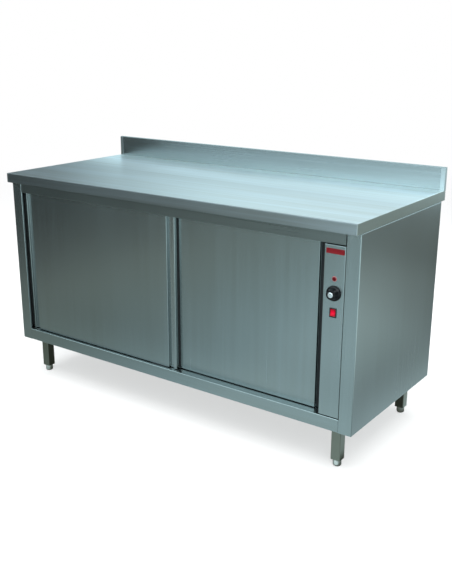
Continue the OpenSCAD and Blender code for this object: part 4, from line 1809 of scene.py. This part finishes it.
@dataclass
class Interior:
    """The folded shelf of the heated cavity."""

    fitter: Fitter
    x: Pair = (-764.0, 684.0)
    y: Pair = (-255.0, 263.0)
    z: Pair = (475.5, 499.5)
    lip: float = 17.0
    sheet: float = 1.0

    def build(self) -> None:
        """Builds the shelf, folded down and in along its front and its rear."""
        (front, rear), (low, high) = self.y, self.z
        path = [
            (front + self.lip, low), (front, low), (front, high), (rear, high), (rear, low),
            (rear - self.lip, low),
        ]
        shelf = Bench.strip("shelf_sheet", Way.X, path, self.x)
        Bench.thicken(shelf, self.sheet)
        self.fitter.fit(shelf, STEEL_INNER, "stainless_inner", "shelf", ("shelf",))


@dataclass
class Service:
    """What warms and feeds the cabinet: fan, heating rod, wires, terminals, gland, bolts and screws."""

    fitter: Fitter
    fan: Pair = (-20.0, 600.0)
    fan_x: float = 691.0
    fan_depth: float = 38.0
    blades: int = 7
    blade_at: float = 18.0
    blade_pitch: float = 35.0
    blade_span: Pair = (19.0, 50.5)
    rod_x: float = 711.0
    rod_r: float = 4.0
    rod_bend: float = 14.5
    outlet: Pair = (-20.0, 320.0)
    half_run: float = 95.0
    bracket_at: float = 60.0
    pitch: float = 30.0
    strip_y: Pair = (-226.0, -180.0)
    strip_z: Pair = (262.0, 280.0)
    wells: tuple[float, ...] = (-217.0, -203.0, -189.0)
    well_x: float = 701.0
    wire_r: float = 1.3
    sleeve_r: float = 1.9
    sleeve: float = 9.0
    gland: Pair = (745.0, 235.0)
    bore: float = 5.0
    gland_ribs: int = 16
    rear: float = Body.rear
    screw_x: float = 791.0
    screw_z: tuple[float, ...] = (200.0, 400.0, 600.0, 800.0)

    def build(self) -> None:
        """Builds every piece of the service side."""
        self.fitter.fit(self.impeller(), NYLON_BLACK, "fan_black", "impeller", ("fan_impeller",))
        self.fitter.fit(self.heater(), HEATER, "heater_sheath", nodes=("heater_element",))
        self.fitter.fit(self.terminals(), IVORY, "terminal_ivory", nodes=("terminal_block",))
        self.fitter.fit(self.wires(), WIRE_BROWN, "wire_brown", nodes=("wiring",))
        self.fitter.fit(self.cable_entry(), NYLON_BLACK, "gland_black", nodes=("cable_gland",))
        self.fitter.fit(self.fixings(), STEEL_SCREW, "fastener_steel", nodes=("fasteners",))

    def impeller(self) -> Piece:
        """Hub with a domed nose and twisted blades.

        Returns:
            The impeller.
        """
        y, z = self.fan
        centre = (self.fan_x, y, z)
        end = self.fan_depth - 7
        hub = Bench.lathe("hub", Way.X, [
            (0, 3), (14, 3.2), (18.5, 4.2), (20.6, 6.4), (21, 9), (21, end - 1), (20, end), (3.2, end),
            (3.2, 8), (0, 8),
        ], centre)
        middle = self.fan_x + self.blade_at
        curve = [(-12.6 + 25.2 * t, 3.4 * math.sin(math.pi * t)) for t in (i / 8 for i in range(9))]
        outline = [(a, b + 0.9) for a, b in curve] + [(a, b - 0.9) for a, b in reversed(curve)]
        outline = [(middle + a, y + b - 1.5) for a, b in outline]
        root, tip = self.blade_span
        blades = []
        for i in range(self.blades):
            blade = Bench.prism("blade", Way.Z, outline, (z + root, z + tip), 0.3)
            Bench.turn(blade, Way.Z, self.blade_pitch, (middle, y, z))
            Bench.turn(blade, Way.X, i * 360.0 / self.blades, centre)
            blades.append(blade)
        return Bench.join("fan_wheel", *blades, hub)

    def heater(self) -> Piece:
        """The bent rod with its ends and two brackets.

        Returns:
            The heater.
        """
        middle = self.outlet[0]
        near_y, far_y = middle - self.half_run, middle + self.half_run
        end_y = near_y - 15
        low = self.outlet[1] - 1.5 * self.pitch
        turns = [
            (end_y, 0), (far_y, 0), (far_y, 1), (near_y, 1), (near_y, 2), (far_y, 2), (far_y, 3), (end_y, 3),
        ]
        line = [(self.rod_x, y, low + row * self.pitch) for y, row in turns]
        parts = [Bench.tube("rod", line, self.rod_r, self.rod_bend)]
        high = low + 3 * self.pitch
        for y in (middle - self.bracket_at, middle + self.bracket_at):
            parts.append(Bench.box(
                "bracket", (self.fan_x, y - 1, low - 12), (self.rod_x, y + 1, high + 12), 0.3
            ))
        return Bench.join("heater_rod", *parts)

    def terminals(self) -> Piece:
        """The terminal block with a screw in each well.

        Returns:
            The block.
        """
        (front, rear), (low, high) = self.strip_y, self.strip_z
        body = Bench.box("block", (self.fan_x, front, low), (self.fan_x + 20, rear, high), 0.6)
        head = [(1.3, 271.2), (1.4, 272.6), (2.5, 272.6), (2.7, 272.2), (2.7, 271.2), (1.3, 271.2)]
        wells, screws = [], []
        for y in self.wells:
            at = (self.well_x, y, 0.0)
            wells.append(Bench.pin("well", Way.Z, 3, (271.3, high + 4), at, 24))
            screws.append(Bench.lathe("screw", Way.Z, head, at, 20))
        Bench.cut(body, Bench.join("wells", *wells))
        return Bench.join("terminal_strip", *screws, body)

    def wires(self) -> Piece:
        """Round wires from the switch, the thermostat and the lamp, with their sleeves.

        Returns:
            The wires.
        """
        runs = [
            [(707, -298, 573), (707, -250, 573), (701, -217, 340), (701, -217, 271)],
            [(717, -298, 573), (717, -210, 573), (701, -203, 360), (701, -203, 271)],
            [(712, -292, 632), (712, -206, 632), (701, -189, 400), (701, -189, 271)],
            [(712, -294, 689), (712, -250, 689), (712, -246, 644), (712, -292, 644)],
        ]
        parts = []
        for run in runs:
            a, b, c, d = (Vector(p) for p in run)
            points = [
                a * (1 - t) ** 3 + b * 3 * t * (1 - t) ** 2 + c * 3 * t * t * (1 - t) + d * t ** 3
                for t in (i / 28 for i in range(29))
            ]
            parts.append(Bench.tube("wire", points, self.wire_r))
            parts.append(Bench.tube("sleeve", [a, a + Vector((0, self.sleeve, 0))], self.sleeve_r))
        return Bench.join("wire_set", *parts)

    def cable_entry(self) -> Piece:
        """The gland: locknut, threaded neck, hexagon and ribbed clamping dome round one bore.

        Returns:
            The gland.
        """
        x, z = self.gland
        at = (x, self.rear, z)
        parts = []
        for low, high, radius in ((-6, -1, 12.0), (0, 5, 13.0)):
            span = (self.rear + low, self.rear + high)
            nut = Bench.prism("nut", Way.Y, hexagon(radius, self.gland), span, 0.5)
            Bench.cut(nut, Bench.pin("hole", Way.Y, self.bore + 0.2, (low - 2, high + 2), at, 32))
            parts.append(nut)
        thread = [(8 - 0.4 * (i % 2), -11 + i * 0.7) for i in range(16)]
        dome = [
            (8, 4.6), (10.3, 5), (10.5, 5.4), (10.5, 16), (10.1, 18), (9.1, 20.4), (8, 21.8), (7.4, 22),
            (5.4, 22), (self.bore, 21.6), (self.bore, -12),
        ]
        profile = [(self.bore, -12), (7.4, -12), (8, -11.4)] + thread + dome
        parts.append(Bench.lathe("neck", Way.Y, profile, at))
        for i in range(self.gland_ribs):
            low = (x + 9.9, self.rear + 6, z - 0.7)
            high = (x + 10.9, self.rear + 15, z + 0.7)
            rib = Bench.box("rib", low, high, 0.25)
            Bench.turn(rib, Way.Y, i * 360.0 / self.gland_ribs, at)
            parts.append(rib)
        return Bench.join("cable_entry", *parts)

    def fixings(self) -> Piece:
        """Bolts under the leg plates and pan-head screws of the back panel.

        Returns:
            All of them as one piece.
        """
        legs = [(x, y) for x in (-Legs.x, Legs.x) for y in (Legs.front, Legs.rear)]
        insets = (-Legs.bolt_inset, Legs.bolt_inset)
        corners = [(x + a, y + b, 0) for x, y in legs for a in insets for b in insets]
        bolts = Bench.spread(self.bolt(), corners)
        holes = [(x, self.rear, z) for x in (-self.screw_x, self.screw_x) for z in self.screw_z]
        screws = Bench.spread(self.screw(), holes)
        return Bench.join("bolts_and_screws", *bolts, *screws)

    def bolt(self) -> Piece:
        """A hexagon bolt with its washer and the thread's end in the base pan.

        Returns:
            The bolt, on the origin.
        """
        origin = (0, 0, 0)
        head = Bench.prism("head", Way.Z, hexagon(7.3), (149.7, 153.8), 0.5)
        disc = [(0, 153.8), (7.0, 153.8), (7.5, 154.1), (7.5, 155), (0, 155)]
        washer = Bench.lathe("washer", Way.Z, disc, origin, 32)
        shank = [(0, 154), (4, 154), (4, 165.2), (3.4, 166), (0, 166)]
        stem = Bench.lathe("stem", Way.Z, shank, origin, 24)
        return Bench.join("bolt", stem, washer, head)

    def screw(self) -> Piece:
        """A pan-head screw with a cross recess.

        Returns:
            The screw, on the origin.
        """
        origin = (0, 0, 0)
        profile = [(0, -4), (2, -4), (2, 0), (4, 0), (4, 0.9), (3.5, 1.8), (2.2, 2.3), (0, 2.4)]
        head = Bench.lathe("head", Way.Y, profile, origin, 32)
        long, wide = 2.3, 0.45
        arm = [(long, -wide), (long, wide), (wide, wide)]
        cross = arm + [(-b, a) for a, b in arm] + [(-a, -b) for a, b in arm] + [(b, -a) for a, b in arm]
        recess = Bench.prism("recess", Way.Y, cross, (1.3, 3))
        Bench.turn(recess, Way.Y, 20.0, origin)
        Bench.cut(head, recess)
        return head


# ---- Studio ----


@dataclass
class Lamp:
    """A soft rectangular lamp aimed at a point, in metres."""

    name: str
    place: Point
    aim: Point
    size: Pair
    power: float
    glossy: bool = False

    def light(self) -> None:
        """Adds the lamp."""
        data = bpy.data.lights.new(self.name, "AREA")
        data.shape = "RECTANGLE"
        data.size, data.size_y = self.size
        data.energy = self.power
        lamp = bpy.data.objects.new(self.name, data)
        bpy.context.scene.collection.objects.link(lamp)
        lamp.location = self.place
        lamp.rotation_euler = (Vector(self.aim) - lamp.location).to_track_quat("-Z", "Y").to_euler()
        lamp.visible_camera = False
        lamp.visible_glossy = self.glossy


@dataclass
class Card:
    """A glowing card that only mirrors show, shaded along X and along Y."""

    name: str
    low: Point
    high: Point
    along: tuple[tuple[float, Colour], ...]
    across: tuple[tuple[float, Colour], ...] = ((-20.0, WHITE), (20.0, WHITE))

    @staticmethod
    def ramp(paint: Paint, way: Wire, stops: tuple[tuple[float, Colour], ...]) -> Wire:
        """Colours that change along a way.

        Args:
            paint: The material's nodes.
            way: Coordinate in metres.
            stops: Places on the way, each with its colour.

        Returns:
            The colour.
        """
        start, end = stops[0][0], stops[-1][0]
        share = (way - start) * (1.0 / (end - start))
        marks = [((at - start) / (end - start), (*colour, 1.0)) for at, colour in stops]
        return Wire(paint, paint.node("ShaderNodeValToRGB", {"stops": marks}, {"Fac": share}).outputs[0])

    def build(self) -> None:
        """Adds the card."""
        card = Bench.box(self.name, *(tuple(v / MM for v in corner) for corner in (self.low, self.high)))
        paint = Paint(self.name)
        x, y = paint.plan()
        along, across = self.ramp(paint, x, self.along), self.ramp(paint, y, self.across)
        card.data.materials.append(paint.surface(
            Base_Color=(0.0, 0.0, 0.0, 1.0), Roughness=1.0, Specular_IOR_Level=0.0,
            Emission_Color=paint.filtered(along, across), Emission_Strength=1.0,
        ))
        card.visible_camera = card.visible_diffuse = card.visible_shadow = False
        card.visible_transmission = False


@dataclass
class Studio:
    """Pale floor that fades into white, soft light, mirrored cards and the photograph's camera."""

    eye: Point = (1.885, -2.530, 1.423)
    turn: float = 35.83
    dip: float = 17.49
    roll: float = 0.12
    focal_px: float = 817.7
    long_side_px: int = 584
    sensor: float = 36.0
    floor_radius: float = 9.0
    fade_from: float = 2.2
    fade_pace: float = 1.6
    floor_share: float = 0.4
    around_tint: Colour = (0.86, 0.97, 1.0)
    around_share: float = 0.55
    lamps: list[Lamp] = field(default_factory=lambda: [
        Lamp("top_softbox", (0.0, -0.4, 4.2), (0.0, -0.2, 0.0), (6.0, 5.0), 420.0),
        Lamp("key_softbox", (2.6, -2.6, 3.0), (0.4, -0.5, 0.3), (1.6, 1.6), 70.0, glossy=True),
    ])
    cards: list[Card] = field(default_factory=lambda: [
        Card("floor_card", (-12.0, -12.0, 0.0), (12.0, 12.0, 0.001), (
            (-5.0, (0.03, 0.035, 0.03)), (-3.2, (0.08, 0.09, 0.085)), (-2.2, (0.20, 0.22, 0.21)),
            (-1.6, (0.39, 0.44, 0.40)), (-1.0, (0.40, 0.48, 0.46)), (-0.6, (0.48, 0.60, 0.61)),
            (-0.2, (0.64, 0.82, 0.86)), (0.1, (0.80, 1.00, 1.04)), (0.75, (0.88, 1.10, 1.15)),
            (1.1, (0.36, 0.44, 0.45)), (1.5, (0.86, 1.05, 1.07)), (2.0, (1.60, 1.96, 2.02)),
        ), (
            (-8.0, grey(1.05)), (-3.0, grey(1.05)), (-2.0, grey(1.15)), (-1.7, WHITE), (-1.3, WHITE),
            (-0.95, grey(0.80)), (-0.7, (0.96, 0.96, 0.95)), (0.2, grey(1.08)),
            (0.75, (0.92, 0.92, 0.90)), (1.1, (0.82, 0.81, 0.79)),
            (1.45, (0.58, 0.56, 0.54)), (1.84, (0.42, 0.40, 0.38)), (2.1, (0.36, 0.34, 0.32)),
            (2.5, (0.20, 0.185, 0.17)), (8.0, (0.15, 0.14, 0.13)),
        )),
        Card("under_card", (-0.78, -0.28, 0.002), (0.78, 0.30, 0.003), (
            (-0.78, (0.08, 0.09, 0.07)), (0.78, (0.10, 0.11, 0.09)),
        )),
        Card("rear_card", (-7.5, 3.2, 0.3), (2.5, 3.201, 3.6), (
            (-7.5, (0.05, 0.06, 0.065)), (-5.2, (0.08, 0.10, 0.11)), (-4.4, (0.15, 0.20, 0.22)),
            (-3.3, (0.74, 1.05, 1.14)), (-2.3, (1.20, 1.60, 1.68)), (-1.2, (1.16, 1.46, 1.54)),
            (2.5, (1.20, 1.50, 1.58)),
        )),
        Card("high_card", (-4.0, 3.0, 2.1), (2.5, 3.001, 4.6), (
            (-4.0, (0.3, 0.38, 0.42)), (-2.4, (1.2, 1.5, 1.6)), (0.0, (1.8, 2.15, 2.25)),
            (2.5, (1.8, 2.15, 2.25)),
        )),
        Card("front_card", (-7.0, -4.201, 0.8), (2.5, -4.2, 3.2), (
            (-7.0, (0.30, 0.36, 0.38)), (-4.8, (0.62, 0.82, 0.88)), (-2.7, (2.00, 2.45, 2.60)),
            (-0.8, (3.40, 4.10, 4.35)), (2.5, (3.40, 4.10, 4.35)),
        )),
        Card("fold_card", (-4.2, -2.7, 3.0), (0.6, -0.5, 3.001), (
            (-4.2, (2.2, 2.7, 2.85)), (0.6, (2.2, 2.7, 2.85)),
        )),
    ])

    def camera(self) -> None:
        """Adds the camera and makes it the scene's."""
        data = bpy.data.cameras.new("camera")
        data.lens = self.focal_px * self.sensor / self.long_side_px
        data.sensor_width = self.sensor
        data.clip_end = 200.0
        camera = bpy.data.objects.new("camera", data)
        turned = (
            Matrix.Rotation(math.radians(self.turn), 4, "Z")
            @ Matrix.Rotation(math.radians(90.0 - self.dip), 4, "X")
            @ Matrix.Rotation(math.radians(self.roll), 4, "Z")
        )
        camera.matrix_world = Matrix.Translation(self.eye) @ turned
        bpy.context.scene.collection.objects.link(camera)
        bpy.context.scene.camera = camera

    def floor(self) -> None:
        """Adds the pale floor, which thins out towards its rim."""
        bpy.ops.object.select_all(action="DESELECT")
        bpy.ops.mesh.primitive_circle_add(vertices=96, radius=self.floor_radius, fill_type="NGON")
        floor = Bench.named("floor")
        paint = Paint("floor_paint")
        colour = paint.blend(paint.noise((0.8,) * 3), grey(0.86), grey(0.90))
        reach = paint.node("ShaderNodeVectorMath", {"operation": "LENGTH"}, {0: paint.coordinates()})
        fade = self.fade_pace / (self.floor_radius - self.fade_from)
        away = (Wire(paint, reach.outputs["Value"]) - self.fade_from) * fade
        alpha = (1.0 - away.clamped()) * self.floor_share
        floor.data.materials.append(paint.surface(
            Base_Color=colour, Roughness=0.9, Specular_IOR_Level=0.1, Alpha=alpha
        ))
        floor.visible_glossy = False

    def sky(self) -> None:
        """Surrounds the cabinet with soft light: white to the camera, dimmer where surfaces see it."""
        world = bpy.data.worlds.new("studio")
        bpy.context.scene.world = world
        world.use_nodes = True
        tree = world.node_tree
        tree.nodes.clear()
        output = tree.nodes.new("ShaderNodeOutputWorld")
        mix = tree.nodes.new("ShaderNodeMixShader")
        seen = tree.nodes.new("ShaderNodeBackground")
        seen.inputs[0].default_value = (*WHITE, 1.0)
        around = tree.nodes.new("ShaderNodeBackground")
        around.inputs[0].default_value = (*self.around_tint, 1.0)
        around.inputs[1].default_value = self.around_share
        path = tree.nodes.new("ShaderNodeLightPath")
        tree.links.new(path.outputs["Is Camera Ray"], mix.inputs[0])
        tree.links.new(around.outputs[0], mix.inputs[1])
        tree.links.new(seen.outputs[0], mix.inputs[2])
        tree.links.new(mix.outputs[0], output.inputs[0])

    def build(self) -> None:
        """Adds the whole studio."""
        bpy.context.scene.view_settings.view_transform = "Standard"
        self.camera()
        self.floor()
        self.sky()
        for lamp in self.lamps:
            lamp.light()
        for card in self.cards:
            card.build()
        log.info("studio: floor, sky, camera, %d lamps and %d cards", len(self.lamps), len(self.cards))


def main() -> None:
    """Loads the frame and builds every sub-assembly round it."""
    logging.basicConfig(level=logging.INFO, format="%(name)s: %(message)s")
    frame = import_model()
    Studio().build()
    finishes = Finishes()
    finishes.dress_frame(frame["nodes"])
    fitter = Fitter(finishes)
    parts = (
        Worktop(fitter), Body(fitter), SlidingDoor(fitter, "left", x=-750.0, y=-306.0),
        SlidingDoor(fitter, "right", x=-123.0, y=-286.0), DoorTrim(fitter), Controls(fitter),
        Legs(fitter), Interior(fitter), Service(fitter),
    )
    for part in parts:
        part.build()
    log.info("%d new pieces", fitter.count)


if __name__ == "__main__":
    main()
